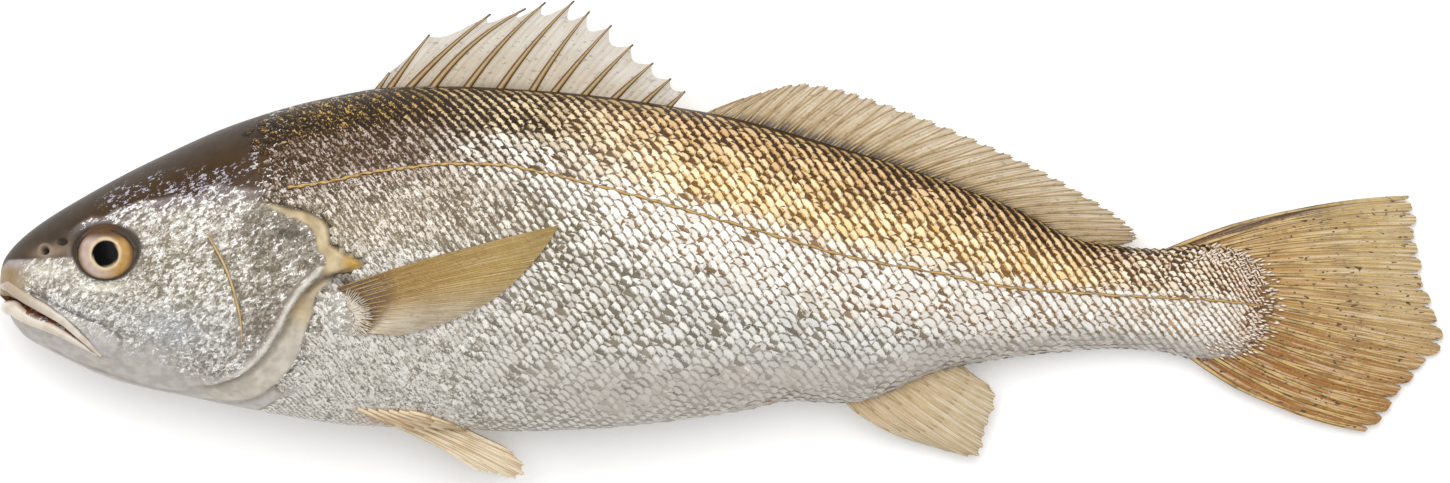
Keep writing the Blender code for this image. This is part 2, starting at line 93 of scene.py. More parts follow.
class Curve:
    """A smooth reading through (place, value) points that never overshoots between them."""

    def __init__(self, points: Points, blunt: bool = False) -> None:
        """Works out the slopes.

        Args:
            points: Places in rising order, each with its value.
            blunt: True for a round start, smooth against the root of the place.
        """
        self.blunt = blunt
        at = np.array([p[0] for p in points], float)
        self.at = np.sqrt(at) if blunt else at
        self.value = np.array([p[1] for p in points], float)
        step = np.diff(self.at)
        rise = np.diff(self.value) / step
        slope = np.zeros(len(at))
        slope[0] = rise[0]
        slope[-1] = rise[-1]
        for i in range(1, len(at) - 1):
            if rise[i - 1] * rise[i] > 0:
                before = 2 * step[i] + step[i - 1]
                after = step[i] + 2 * step[i - 1]
                slope[i] = (before + after) / (before / rise[i - 1] + after / rise[i])
        self.step = step
        self.slope = slope

    def __call__(self, x: Array) -> Array:
        """Reads the curve at each place.

        Args:
            x: The places.

        Returns:
            The curve's value at each place.
        """
        x = np.asarray(x, float)
        if self.blunt:
            x = np.sqrt(np.maximum(x, 0))
        x = np.clip(x, self.at[0], self.at[-1])
        i = np.clip(np.searchsorted(self.at, x, side="right") - 1, 0, len(self.at) - 2)
        t = (x - self.at[i]) / self.step[i]
        return (
            self.value[i] * (1 + 2 * t) * (1 - t) ** 2
            + self.slope[i] * self.step[i] * t * (1 - t) ** 2
            + self.value[i + 1] * t * t * (3 - 2 * t)
            + self.slope[i + 1] * self.step[i] * t * t * (t - 1)
        )


class Track:
    """A smooth line in plan through points, read by share from its start to its end."""

    def __init__(self, points: Points) -> None:
        """Fits a curve to each coordinate.

        Args:
            points: The line's plan points in order.
        """
        last = len(points) - 1
        self.x = Curve([(i / last, p[0]) for i, p in enumerate(points)])
        self.y = Curve([(i / last, p[1]) for i, p in enumerate(points)])

    def __call__(self, share: Array) -> Array:
        """Gives the plan point, or a row of them, at a share."""
        return np.stack((self.x(share), self.y(share)), axis=-1)

    def points(self, count: int) -> Array:
        """Gives a number of plan points spread over the whole line."""
        return self(np.linspace(0, 1, count))


def line_distance(line: Array, plan: Array) -> tuple[Array, Array]:
    """Measures plan points against a line.

    Args:
        line: The line's points in order.
        plan: The points to measure.

    Returns:
        The distance, positive on the line's right hand, and the nearest place as a share.
    """
    start = line[:-1]
    run = line[1:] - start
    size = np.sum(run**2, axis=1)
    best = np.full(len(plan), np.inf)
    sign = np.ones(len(plan))
    share = np.zeros(len(plan))
    for i in range(len(run)):
        rel = plan - start[i]
        t = np.clip(rel @ run[i] / size[i], 0, 1)
        gap = np.hypot(*(rel - t[:, None] * run[i]).T)
        closer = gap < best - 1e-9
        side = rel[:, 1] * run[i, 0] - rel[:, 0] * run[i, 1]
        best = np.where(closer, gap, best)
        sign = np.where(closer, np.where(side > 0, -1, 1), sign)
        share = np.where(closer, (i + t) / len(run), share)
    return best * sign, share


def inside_distance(ring: Array, plan: Array) -> Array:
    """Gives how far plan points lie inside a closed outline, negative outside it.

    Args:
        ring: The outline's corners in order.
        plan: The plan points.

    Returns:
        One distance for each point, in millimetres.
    """
    closed = np.vstack((ring, ring[:1]))
    gap = np.abs(line_distance(closed, plan)[0])
    within = np.zeros(len(plan), bool)
    x, y = plan.T
    for (x0, y0), (x1, y1) in zip(closed[:-1], closed[1:]):
        if y0 == y1:
            continue
        crosses = ((y0 > y) != (y1 > y)) & (x < (x1 - x0) * (y - y0) / (y1 - y0) + x0)
        within ^= crosses
    return np.where(within, gap, -gap)


@dataclass(frozen=True)
class BodyShape:
    """The fish's bare body, whose sections are ellipses pressed flat on the table."""

    back_line: Points = (
        (0, -4), (0.5, 1.3), (1.2, 3.4), (3.2, 6.4), (9, 11.9), (22.9, 20.9), (46, 33.1), (69.3, 43.2),
        (92.5, 49.9), (115.7, 53.6), (130.2, 53.8), (160, 52.3), (202.7, 46.7), (246.2, 35.4), (289.7, 20.3),
        (318.7, 7.8), (336, 6.4), (348, 8), (356, 7.2), (362, 4.8), (367, 0), (371, -8.6),
    )
    belly_line: Points = (
        (0, -4), (0.5, -10.6), (1.2, -12.8), (5.5, -17.4), (17.1, -24), (34.5, -31.6), (57.7, -36.7),
        (80.9, -41.3), (102.7, -44.3), (130, -45.2), (150.5, -45.9), (173.7, -45.1), (202.7, -41.9),
        (217, -39.6), (228.8, -37.3), (246, -37.6), (275.2, -27.6), (307, -22.9), (324.5, -21.8),
        (336, -22.6), (348, -25), (357, -24.8), (363, -22.4), (368, -17.6), (371, -8.6),
    )
    half_width: Points = (
        (0, 0), (1.2, 5), (4, 8), (10, 11.3), (20, 14.8), (31, 17.5), (50, 20.7), (70, 22.8), (95, 24.2),
        (125, 24.8), (165, 23.8), (200, 21), (245, 16), (290, 10.7), (325, 7.4), (345, 5.2), (360, 3),
        (371, 1),
    )
    middle_height: Points = (
        (0, 20.6), (40, 22.4), (80, 23.2), (125, 23.8), (165, 22.8), (200, 20.4), (245, 16.4), (290, 12),
        (330, 8), (370, 4.4), (421, 1.6),
    )
    pressed_height: Points = ((0, 0.5), (164, 0.5), (172, 0), (421, 0))
    length: float = 371.0
    back: Curve = field(init=False)
    belly: Curve = field(init=False)
    half: Curve = field(init=False)
    middle: Curve = field(init=False)
    pressed: Curve = field(init=False)

    def __post_init__(self) -> None:
        """Fits the curves."""
        object.__setattr__(self, "back", Curve(self.back_line, True))
        object.__setattr__(self, "belly", Curve(self.belly_line, True))
        object.__setattr__(self, "half", Curve(self.half_width, True))
        object.__setattr__(self, "middle", Curve(self.middle_height))
        object.__setattr__(self, "pressed", Curve(self.pressed_height))

    def point(self, x: Array, turn: Array) -> Array:
        """Gives points of the skin by the turn round the section, from the belly up the left flank.

        Args:
            x: Distances behind the snout's tip.
            turn: Turns in radians.

        Returns:
            Points in millimetres, in the shape that the two arrays make together.
        """
        back = self.back(x)
        belly = self.belly(x)
        y = belly + (back - belly) * (1 - np.cos(turn)) / 2
        z = self.middle(x) + self.half(x) * np.sin(turn)
        return np.stack((np.broadcast_to(x, y.shape), y, np.maximum(z, self.pressed(x))), axis=-1)

    def share(self, x: Array, y: Array) -> Array:
        """Gives the height of plan points as a share of the body's height there.

        Args:
            x: Distances behind the snout's tip.
            y: Places across the fish, towards its back.

        Returns:
            Shares, 0 at the belly's edge and 1 at the back's.
        """
        back = self.back(x)
        belly = self.belly(x)
        return np.clip((y - belly) / np.maximum(back - belly, 0.01), 0, 1)

    def over(self, plan: Array, side: Side, lift: Array | float = 0.0) -> Array:
        """Puts plan points on a flank, raised off it by a lift.

        Args:
            plan: The plan points.
            side: The flank.
            lift: How far off the flank, in millimetres.

        Returns:
            The points in millimetres.
        """
        x = np.clip(plan[..., 0], 0.05, self.length)
        share = self.share(x, plan[..., 1])
        bulge = 2 * np.sqrt(share * (1 - share))
        z = np.maximum(self.middle(x) + side.value * self.half(x) * bulge, self.pressed(x))
        z = np.maximum(z + side.value * np.asarray(lift), 0.05)
        return np.stack((plan[..., 0], plan[..., 1], z), axis=-1)


BODY = BodyShape()


class Landmarks:
    """Lines of the head and flank that both the skin's relief and its colours follow."""

    gill_edge = Track((
        (72.2, 20.9), (78.3, 20.3), (84.1, 18.6), (90, 17.4), (94, 15.4), (96, 12), (96, 8.8), (99.4, 5.8),
        (105.4, 2.4), (99.6, 0.2), (93.4, -1.8), (89.6, -4.8), (87, -8.1), (84.7, -11.9), (82.7, -16),
        (79.8, -20.3), (76.9, -24.1), (71.6, -28.6), (64, -31.4), (54, -33),
    )).points(96)
    bone_edge = Track((
        (76, 19.4), (84, 16.4), (89.6, 13.8), (92.4, 10.4), (93, 7), (95.6, 3.6), (94.6, 0.2), (90.4, -4.0),
        (87, -8.1), (84.7, -11.9), (82.7, -16), (79.8, -20.3), (76.9, -24.1), (71.6, -28.6), (64, -31.4), (54, -33),
    )).points(72)
    membrane_edge = Track((
        (97, -2.6), (92.4, -6.4), (91, -12.2), (89.3, -16.8), (87.8, -21.6), (85, -27), (80.4, -32),
        (74.5, -35.8), (66, -37.2), (56, -35.6),
    )).points(50)
    cheek_edge = Track((
        (60, 12.5), (62, 9), (64.6, 4.6), (67, -0.6), (69, -7), (70.4, -13.4), (70.8, -19), (68.7, -24),
        (63, -27.4),
    )).points(50)
    jaw_plate = np.array((
        (9.6, -6.1), (14.5, -8.4), (20.3, -11.6), (26.1, -13.9), (30, -15.4), (34.2, -18), (35.8, -20),
        (34.8, -22.8), (32.8, -25), (30.4, -24.2), (29, -22.6), (26.4, -19.8), (23.2, -16.4), (19, -13.2),
        (15, -9.8), (10, -7),
    ))
    gape = np.array((
        (-3, -6.4), (3, -7), (6, -8.4), (11.6, -11.8), (18.6, -15.2), (24, -19), (29.4, -23.8),
        (23.2, -20), (17.2, -16.4), (11.6, -13.4), (7, -11.6), (3, -9), (-3, -8.4),
    ))
    lateral_line = Track((
        (84, 24.4), (95.7, 26.1), (107.3, 28.7), (118.9, 30.2), (130.5, 31.3), (145, 31), (156.6, 29),
        (166.8, 26.7), (185.6, 21.8), (203, 16.8), (226.2, 10.2), (246.5, 4.4), (275.5, -0.9), (290, -4.1),
        (304.5, -5.5), (333.5, -7.3), (350.9, -8.1), (366.9, -9.9),
    )).points(160)
    jaw_fold = Track(((12, -20.6), (22, -25.8), (34, -30.2), (44, -33.4), (54, -35.2))).points(30)
    lobe = (101.0, -11.6)
    eye = (31.5, 5.0)
    pupil = (31.3, 5.4)
    nostril = (13.6, 6.1)
    rear_nostril = (18.6, 8.8)
    crown_line = Curve((
        (0, 2), (8, 6), (16, 11), (24, 14.5), (34, 17.5), (42, 20.5), (56, 22.5), (70, 24), (84, 27), (96, 30),
        (120, 33),
    ))

    @classmethod
    def line_share(cls, x: Array) -> Array:
        """Height of the lateral line as a share of the body's height."""
        line = cls.lateral_line
        return np.clip(BODY.share(x, np.interp(x, line[:, 0], line[:, 1])), 0.1, 0.9)


MARKS = Landmarks


class Stage:
    """Small steps of mesh making that every piece shares."""

    @staticmethod
    def deselect() -> None:
        """Deselects everything, so that an operator acts on its own piece alone."""
        bpy.ops.object.select_all(action="DESELECT")

    @staticmethod
    def activate(piece: bpy.types.Object) -> None:
        """Selects one piece alone and makes it active.

        Args:
            piece: The piece.
        """
        Stage.deselect()
        piece.select_set(True)
        bpy.context.view_layer.objects.active = piece

    @staticmethod
    def grid(name: str, places: Array) -> tuple[bpy.types.Object, Array]:
        """Adds a grid and moves its points to places.

        Args:
            name: The piece's name.
            places: Points in millimetres, rows by columns by 3.

        Returns:
            The piece and, for each of its vertices, the row and column it took.
        """
        rows, columns = places.shape[:2]
        Stage.deselect()
        bpy.ops.mesh.primitive_grid_add(x_subdivisions=rows - 1, y_subdivisions=columns - 1, size=2)
        piece = bpy.context.object
        piece.name = name
        piece.data.name = name
        plain = Stage.read(piece)
        i = np.rint((plain[:, 0] + 1) / 2 * (rows - 1)).astype(int)
        j = np.rint((plain[:, 1] + 1) / 2 * (columns - 1)).astype(int)
        Stage.write(piece, places[i, j])
        return piece, np.stack((i, j), axis=1)

    @staticmethod
    def read(piece: bpy.types.Object) -> Array:
        """Reads the vertices as they are stored.

        Args:
            piece: The piece.

        Returns:
            Its points as rows of three.
        """
        flat = np.empty(len(piece.data.vertices) * 3, np.float32)
        piece.data.vertices.foreach_get("co", flat)
        return flat.reshape(-1, 3).astype(float)

    @staticmethod
    def write(piece: bpy.types.Object, places: Array) -> None:
        """Stores places in millimetres of the fish's frame as metres of the part's frame.

        Args:
            piece: The piece.
            places: One point for each vertex.
        """
        made = (places + ORIGIN_SHIFT) * MM
        piece.data.vertices.foreach_set("co", made.astype(np.float32).ravel())
        piece.data.update()

    @staticmethod
    def paint(piece: bpy.types.Object, name: str, values: Array) -> None:
        """Stores a number or a colour for each vertex.

        Args:
            piece: The piece.
            name: The attribute's name.
            values: One number, or one row of three, for each vertex.
        """
        colour = values.ndim == 2
        layer = piece.data.attributes.new(name, "FLOAT_COLOR" if colour else "FLOAT", "POINT")
        if colour:
            full = np.ones((len(values), 4), np.float32)
            full[:, :3] = values
            layer.data.foreach_set("color", full.ravel())
        else:
            layer.data.foreach_set("value", values.astype(np.float32))

    @staticmethod
    def close(piece: bpy.types.Object, gap: float = 0.02) -> None:
        """Merges doubled points, closes what is open and turns all faces outwards.

        Args:
            piece: The piece.
            gap: How close points are merged, in millimetres.
        """
        Stage.activate(piece)
        bpy.ops.object.mode_set(mode="EDIT")
        bpy.ops.mesh.select_mode(type="VERT")
        bpy.ops.mesh.select_all(action="SELECT")
        bpy.ops.mesh.remove_doubles(threshold=gap * MM)
        bpy.ops.mesh.select_all(action="SELECT")
        bpy.ops.mesh.fill_holes(sides=0)
        bpy.ops.mesh.select_all(action="SELECT")
        bpy.ops.mesh.normals_make_consistent(inside=False)
        bpy.ops.object.mode_set(mode="OBJECT")

    @staticmethod
    def thicken(piece: bpy.types.Object, thickness: float) -> None:
        """Turns an open sheet into a thin closed solid.

        Args:
            piece: The piece.
            thickness: The sheet's thickness in millimetres.
        """
        Stage.activate(piece)
        solid = piece.modifiers.new("thickness", "SOLIDIFY")
        solid.thickness = thickness * MM
        solid.offset = 0.0
        bpy.ops.object.modifier_apply(modifier=solid.name)

    @staticmethod
    def smooth(piece: bpy.types.Object, degrees: float = 60) -> None:
        """Shades a piece smooth except at its sharp edges."""
        Stage.activate(piece)
        bpy.ops.object.shade_smooth_by_angle(angle=math.radians(degrees))

    @staticmethod
    def rods(name: str, lines: Sequence[Array], sizes: Sequence[Array], sides: int = 1) -> bpy.types.Object:
        """Makes one piece of many round tapered rods.

        Args:
            name: The piece's name.
            lines: For each rod, its points in millimetres.
            sizes: For each rod, its radius at each point in millimetres.
            sides: The curve's bevel resolution.

        Returns:
            The piece, as a mesh of closed rods.
        """
        curve = bpy.data.curves.new(name, "CURVE")
        curve.dimensions = "3D"
        curve.bevel_depth = MM
        curve.bevel_resolution = sides
        curve.use_fill_caps = True
        for line, size in zip(lines, sizes):
            spline = curve.splines.new("POLY")
            spline.points.add(len(line) - 1)
            places = np.ones((len(line), 4))
            places[:, :3] = (line + ORIGIN_SHIFT) * MM
            spline.points.foreach_set("co", places.ravel())
            spline.points.foreach_set("radius", np.asarray(size, float))
        piece = bpy.data.objects.new(name, curve)
        bpy.context.scene.collection.objects.link(piece)
        Stage.activate(piece)
        bpy.ops.object.convert(target="MESH")
        piece = bpy.context.object
        Stage.close(piece, 0.002)
        return piece

    @staticmethod
    def shade_sides(piece: bpy.types.Object) -> None:
        """Marks how far each point of a piece faces sideways, for the painted shade down the sides of its rays.

        Args:
            piece: The piece.
        """
        flat = np.empty(len(piece.data.vertices) * 3, np.float32)
        piece.data.vertex_normals.foreach_get("vector", flat)
        Stage.paint(piece, "side", 1 - np.abs(flat.reshape(-1, 3)[:, 2]))

    @staticmethod
    def settle(piece: bpy.types.Object, finish: bpy.types.Material, slot: str, *nodes: str) -> None:
        """Dresses a finished piece and tells the frame what it is.

        Args:
            piece: The piece.
            finish: Its material.
            slot: Not used.
            nodes: The solids that it replaces.
        """
        piece.data.materials.clear()
        piece.data.materials.append(finish)
        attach(piece, "root")
        if nodes:
            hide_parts(*nodes)
        count = sum(len(face.vertices) - 2 for face in piece.data.polygons)
        LOG.info("%s: %d triangles", piece.name, count)


class Value:
    """A shader socket that takes part in sums."""

    def __init__(self, maker: "Finish", socket: bpy.types.NodeSocket) -> None:
        """Keeps the finish that the socket's node belongs to."""
        self.maker = maker
        self.socket = socket

    def _math(self, kind: str, *others: "Value | float") -> "Value":
        """Adds one Math node."""
        return self.maker.node("ShaderNodeMath", {"operation": kind}, *others)

    def __add__(self, other: "Value | float") -> "Value":
        """Adds."""
        return self._math("ADD", self, other)

    __radd__ = __add__

    def __mul__(self, other: "Value | float") -> "Value":
        """Multiplies."""
        return self._math("MULTIPLY", self, other)

    __rmul__ = __mul__

    def __sub__(self, other: "Value | float") -> "Value":
        """Subtracts."""
        return self._math("SUBTRACT", self, other)

    def __rsub__(self, other: float) -> "Value":
        """Subtracts from a number."""
        return self._math("SUBTRACT", other, self)

    def __truediv__(self, other: "Value | float") -> "Value":
        """Divides."""
        return self._math("DIVIDE", self, other)

    def __pow__(self, other: float) -> "Value":
        """Raises to a power."""
        return self._math("POWER", self, other)

    def size(self) -> "Value":
        """Drops the sign."""
        return self._math("ABSOLUTE", self)

    def sine(self) -> "Value":
        """Takes the sine."""
        return self._math("SINE", self)

    def step(self, low: float, high: float) -> "Value":
        """A smooth step from 0 at low to 1 at high."""
        return self.maker.node(
            "ShaderNodeMapRange", {"interpolation_type": "SMOOTHSTEP"}, self, low, high, 0.0, 1.0
        )


class Finish:
    """A material under construction, with one method that adds any node."""

    def __init__(self, name: str) -> None:
        """Starts from an empty Principled material.

        Args:
            name: The material's name.
        """
        self.material = bpy.data.materials.new(name)
        self.material.use_nodes = True
        self.tree = self.material.node_tree
        self.shader = self.tree.nodes["Principled BSDF"]

    def node(self, kind: str, settings: dict[str, object], *inputs: object, output: int | str = 0) -> Value:
        """Adds a node.

        Args:
            kind: The node's type.
            settings: Its properties, set before its sockets.
            inputs: Values or sockets for its inputs in order, or a dict by name; None skips one.
            output: The output to hand back.

        Returns:
            The node's output.
        """
        made = self.tree.nodes.new(kind)
        for key, value in settings.items():
            setattr(made, key, value)
        named = inputs[0] if inputs and isinstance(inputs[0], dict) else dict(enumerate(inputs))
        for key, value in named.items():
            if value is not None:
                self.feed(made.inputs[key], value)
        return Value(self, made.outputs[output])

    def feed(self, socket: bpy.types.NodeSocket, value: object) -> None:
        """Links a socket, or sets it to a value.

        Args:
            socket: The input.
            value: A shader value, a colour or a number.
        """
        if isinstance(value, Value):
            self.tree.links.new(value.socket, socket)
        elif isinstance(value, (tuple, np.ndarray)) and socket.type == "RGBA":
            socket.default_value = (*value[:3], 1.0)
        else:
            socket.default_value = value

    def attribute(self, name: str, colour: bool = False) -> Value:
        """Reads a vertex attribute."""
        return self.node("ShaderNodeAttribute", {"attribute_name": name}, output="Color" if colour else "Fac")

    def place(self, scale: tuple[float, float, float] = (1, 1, 1)) -> Value:
        """Object coordinates, stretched."""
        spot = self.node("ShaderNodeTexCoord", {}, output="Object")
        return self.node("ShaderNodeMapping", {}, {"Vector": spot, "Scale": scale})

    def grain(self, where: Value, size: float, detail: float = 2.0, rough: float = 0.5) -> Value:
        """Soft noise whose lumps have a size in millimetres."""
        inputs = {"Vector": where, "Scale": 1 / (size * MM), "Detail": detail, "Roughness": rough}
        return self.node("ShaderNodeTexNoise", {}, inputs)

    def streaks(self, turn: float, stretch: float) -> Value:
        """Object coordinates stretched along a direction turned from the fish's length.

        Args:
            turn: The direction's turn in radians.
            stretch: The scale along that direction.

        Returns:
            The coordinates.
        """
        spot = self.node("ShaderNodeTexCoord", {}, output="Object")
        inputs = {"Vector": spot, "Rotation": (0, 0, turn), "Scale": (stretch, 1, 1)}
        return self.node("ShaderNodeMapping", {"vector_type": "TEXTURE"}, inputs)

    def warp(self, where: Value, noise_value: Value, reach: float) -> Value:
        """Coordinates pushed about by a noise, over a reach in millimetres."""
        push = self.node("ShaderNodeCombineXYZ", {}, noise_value * (reach * MM), noise_value * (-reach * MM))
        return self.node("ShaderNodeVectorMath", {"operation": "ADD"}, where, push)

    def cells(self, where: Value, size: float) -> Value:
        """A random tone for each cell of a size in millimetres."""
        inputs = {"Vector": where, "Scale": 1 / (size * MM)}
        return self.node("ShaderNodeTexVoronoi", {"feature": "F1"}, inputs, output="Color") * 1.0

    def mix(self, share: object, first: object, second: object, kind: str = "MIX") -> Value:
        """Mixes two colours.

        Args:
            share: How much of the second colour.
            first: The first colour.
            second: The second colour.
            kind: How the two are mixed.

        Returns:
            The mixed colour.
        """
        made = self.tree.nodes.new("ShaderNodeMix")
        made.data_type = "RGBA"
        made.blend_type = kind
        for socket, value in ((made.inputs[0], share), (made.inputs[6], first), (made.inputs[7], second)):
            self.feed(socket, value)
        return Value(self, made.outputs[2])

    def bump(self, height: Value, depth: float, strength: float = 1.0) -> Value:
        """A bump whose full height is a depth in millimetres."""
        inputs = {"Height": height, "Distance": depth * MM, "Strength": strength}
        return self.node("ShaderNodeBump", {}, inputs)

    def finish(self, **sockets: object) -> bpy.types.Material:
        """Sets the shader's sockets, with a space for each underscore, and gives the material."""
        for name, value in sockets.items():
            self.feed(self.shader.inputs[name.replace("_", " ")], value)
        return self.material


@dataclass(frozen=True)
class SkinFinish:
    """Wet skin without large scales: crinkled silver on the head with painted reflections and glints, plain dark
    brown on its top.
    """

    roughness: float = 0.4
    crinkle: float = 0.7

    def make(self) -> bpy.types.Material:
        """Builds the material."""
        finish = Finish("wet_skin")
        where = finish.place()
        tint = finish.attribute("tint", True)
        foil = finish.attribute("foil")
        glints = finish.attribute("glints")
        fine = finish.grain(where, 0.5, 2.0, 0.6)
        coarse = finish.grain(where, 3.2, 2.0, 0.5)
        warped = finish.warp(finish.streaks(0.75, 1.8), finish.grain(where, 1.2, 2.0, 0.6), 1.6)
        large = finish.cells(warped, 0.95)
        small = finish.cells(warped, 0.5)
        creases = (finish.grain(finish.streaks(0.75, 2.2), 0.9, 3.0, 0.65) - 0.5).size()
        # The crinkled silver is painted light: lighter and darker facets, darker creases and white glints stand for
        # light reflected off crinkled foil, and the bump follows the same tones.
        tone = large * 0.36 + small * 0.38 + fine * 0.26 + (coarse - 0.5) * 0.25
        folded = 1 - creases.step(0.004, 0.03)
        shade = finish.mix(tone.step(0.38, 0.5), (0.48, 0.45, 0.41), (1.0, 1.0, 1.0))
        colour = finish.mix(foil, tint, finish.mix(1.0, tint, shade, "MULTIPLY"))
        colour = finish.mix(folded * foil * 0.5, colour, srgb(92, 80, 62))
        colour = finish.mix((1 - foil) * coarse.step(0.35, 0.65) * 0.2, colour, (0.0, 0.0, 0.0))
        white = finish.mix(foil.step(0.1, 0.5), srgb(188, 184, 196), srgb(255, 253, 248))
        glint = (tone + glints * 0.2 - folded * 0.1).step(0.66, 0.71)
        colour = finish.mix(glint * glints.step(0.02, 0.25), colour, white)
        height = large * 0.5 + small * 0.4 - folded * 0.2
        return finish.finish(
            Base_Color=colour,
            Metallic=foil * 0.2,
            Roughness=self.roughness + (fine - 0.5) * 0.3,
            Normal=finish.bump(height * foil + fine * 0.2, 0.5, self.crinkle),
            Specular_IOR_Level=0.2,
            Coat_Weight=0.05,
            Coat_Roughness=0.2,
        )


@dataclass(frozen=True)
class ScaleFinish:
    """Overlapping scales with painted light: a painted glint and streaks inside, painted shade towards the front
    edge, and a thin dark rear rim, partly the scale's edge and partly painted shade.
    """

    roughness: float = 0.38

    def make(self) -> bpy.types.Material:
        """Builds the material."""
        finish = Finish("silver_scales")
        where = finish.place()
        core = finish.attribute("core", True)
        middle = finish.attribute("middle", True)
        gap = finish.attribute("gap", True)
        u = finish.attribute("u")
        v = finish.attribute("v")
        facet = finish.attribute("facet")
        net = finish.attribute("net")
        fine = finish.grain(where, 0.42, 2.0, 0.65)
        hair = finish.grain(finish.streaks(-0.98, 2.6), 0.55, 2.0, 0.6)
        long = finish.grain(finish.streaks(-0.98, 3.2), 1.3, 2.0, 0.5)
        radius = (u * u + v * v) ** 0.5
        lean = u * 0.6 + v * 0.8
        # Painted light and shade on each scale: the band lightens a streak across its middle and darkens it towards
        # its front edge, as shade under the neighbour's rim, and the lean grades it lighter towards one rear corner.
        band = 0.51 - ((u - 0.4) * 0.8 + v * 0.58 - 0.06).size() * 1.6
        loose = 1.3 - net * 0.55
        tone = facet + ((hair - 0.5) * 2.0 + (fine - 0.5) * 1.2 + (long - 0.5) * 0.3) * loose
        tone = tone + band * net + lean * 0.15
        colour = finish.mix(tone.step(0.14, 0.34), gap, middle)
        # The core colour is each scale's painted glint.
        inner = tone.step(0.44, 0.62)
        colour = finish.mix(inner, colour, core)
        # A thin dark line at the rear rim, partly the scale's own edge and partly painted shade.
        upper = (v + 0.15).step(-0.2, 0.3)
        line = (radius + (fine - 0.5) * 0.35).step(0.7, 0.82) * (upper * 0.65 + 0.33) * net
        colour = finish.mix(line, colour, gap)
        return finish.finish(
            Base_Color=colour,
            Metallic=inner * 0.25,
            Roughness=self.roughness + (fine - 0.5) * 0.25,
            Normal=finish.bump(hair * 0.6 + fine * 0.4 - line * 0.5, 0.4, 0.7),
            Specular_IOR_Level=0.2,
            Coat_Weight=0.05,
            Coat_Roughness=0.2,
        )


@dataclass(frozen=True)
class SheetFinish:
    """The thin sheet of a fin between its rays, with flecks along it."""

    name: str
    flecks: float = 0.5
    ribs: float = 0.3
    strands: float = 0.65
    sheer: float = 0.0
    roughness: float = 0.45

    def make(self) -> bpy.types.Material:
        """Builds the material."""
        finish = Finish(self.name)
        where = finish.place()
        tint = finish.attribute("tint", True)
        across = finish.attribute("across")
        along = finish.attribute("along")
        cloud = finish.grain(where, 5.0, 3.0)
        fine = finish.grain(where, 0.7, 2.0)
        thread = finish.node("ShaderNodeCombineXYZ", {}, across * 0.0048, along * 0.0018)
        strands = finish.grain(thread, 0.8, 3.0, 0.7)
        fleck = finish.grain(finish.streaks(-0.1, 1.8), 1.0, 1.0).step(0.64, 0.69) * self.flecks
        ribs = (across * (8 * math.pi)).sine() * 0.5 + 0.5
        colour = finish.mix(cloud.step(0.35, 0.65) * 0.35, tint, (0.8, 0.74, 0.64), "MULTIPLY")
        colour = finish.mix(ribs * self.ribs, colour, (0.66, 0.56, 0.42), "MULTIPLY")
        colour = finish.mix(strands.step(0.47, 0.56) * self.strands, colour, (0.66, 0.54, 0.36), "MULTIPLY")
        pale = (1 - strands.step(0.4, 0.46)) * (self.strands * 0.6) + fine.step(0.5, 0.75) * 0.15
        colour = finish.mix(pale, colour, srgb(246, 232, 202))
        colour = finish.mix(fleck, colour, srgb(78, 54, 28))
        if self.sheer:
            patchy = cloud * 0.5 + strands * 0.9 + 0.3
            finish.finish(Alpha=1 - finish.attribute("thin") * patchy * self.sheer)
        return finish.finish(
            Base_Color=colour,
            Roughness=self.roughness + (fine - 0.5) * 0.2,
            Normal=finish.bump(ribs * 0.6 + strands * 0.4, 0.3, 0.6),
            Specular_IOR_Level=0.4,
            Coat_Weight=0.15,
            Coat_Roughness=0.25,
        )


@dataclass(frozen=True)
class RayFinish:
    """Bony rays and spines: tan and glossy, with painted shade down their sides that also stands for their dark
    edges.
    """

    name: str
    light: tuple[float, float, float]
    dark: tuple[float, float, float]
    blotches: float = 0.35
    edge: float = 0.6

    def make(self) -> bpy.types.Material:
        """Builds the material."""
        finish = Finish(self.name)
        where = finish.place()
        side = finish.attribute("side")
        patches = finish.grain(where, 2.0, 2.0)
        fine = finish.grain(where, 0.6, 2.0)
        light = finish.mix(patches.step(0.48, 0.68) * self.blotches, srgb(*self.light), srgb(*self.dark))
        # Painted shade: the sides of each rod, where it faces sideways, get the dark colour, which also stands for
        # the rays' dark edges.
        colour = finish.mix(side.step(self.edge - 0.5, self.edge), light, srgb(*self.dark))
        colour = finish.mix(fine.step(0.55, 0.8) * 0.35, colour, srgb(*self.dark))
        return finish.finish(
            Base_Color=colour,
            Roughness=0.4 + (fine - 0.5) * 0.2,
            Normal=finish.bump(fine, 0.12, 0.5),
            Specular_IOR_Level=0.4,
            Coat_Weight=0.2,
        )


@dataclass(frozen=True)
class LipFinish:
    """Pale, wet, slightly wrinkled lips."""

    def make(self) -> bpy.types.Material:
        """Builds the material."""
        finish = Finish("pale_lips")
        where = finish.place()
        tint = finish.attribute("tint", True)
        cloud = finish.grain(where, 3.5, 3.0)
        fine = finish.grain(where, 0.8, 3.0)
        colour = finish.mix(cloud.step(0.4, 0.7) * 0.5, tint, srgb(196, 168, 138))
        colour = finish.mix(fine.step(0.55, 0.8) * 0.4, colour, srgb(236, 226, 214))
        return finish.finish(
            Base_Color=colour,
            Roughness=0.34 + (fine - 0.5) * 0.2,
            Normal=finish.bump(fine * 0.6 + cloud * 0.6, 0.35, 0.6),
            Coat_Weight=0.4,
            Coat_Roughness=0.15,
        )


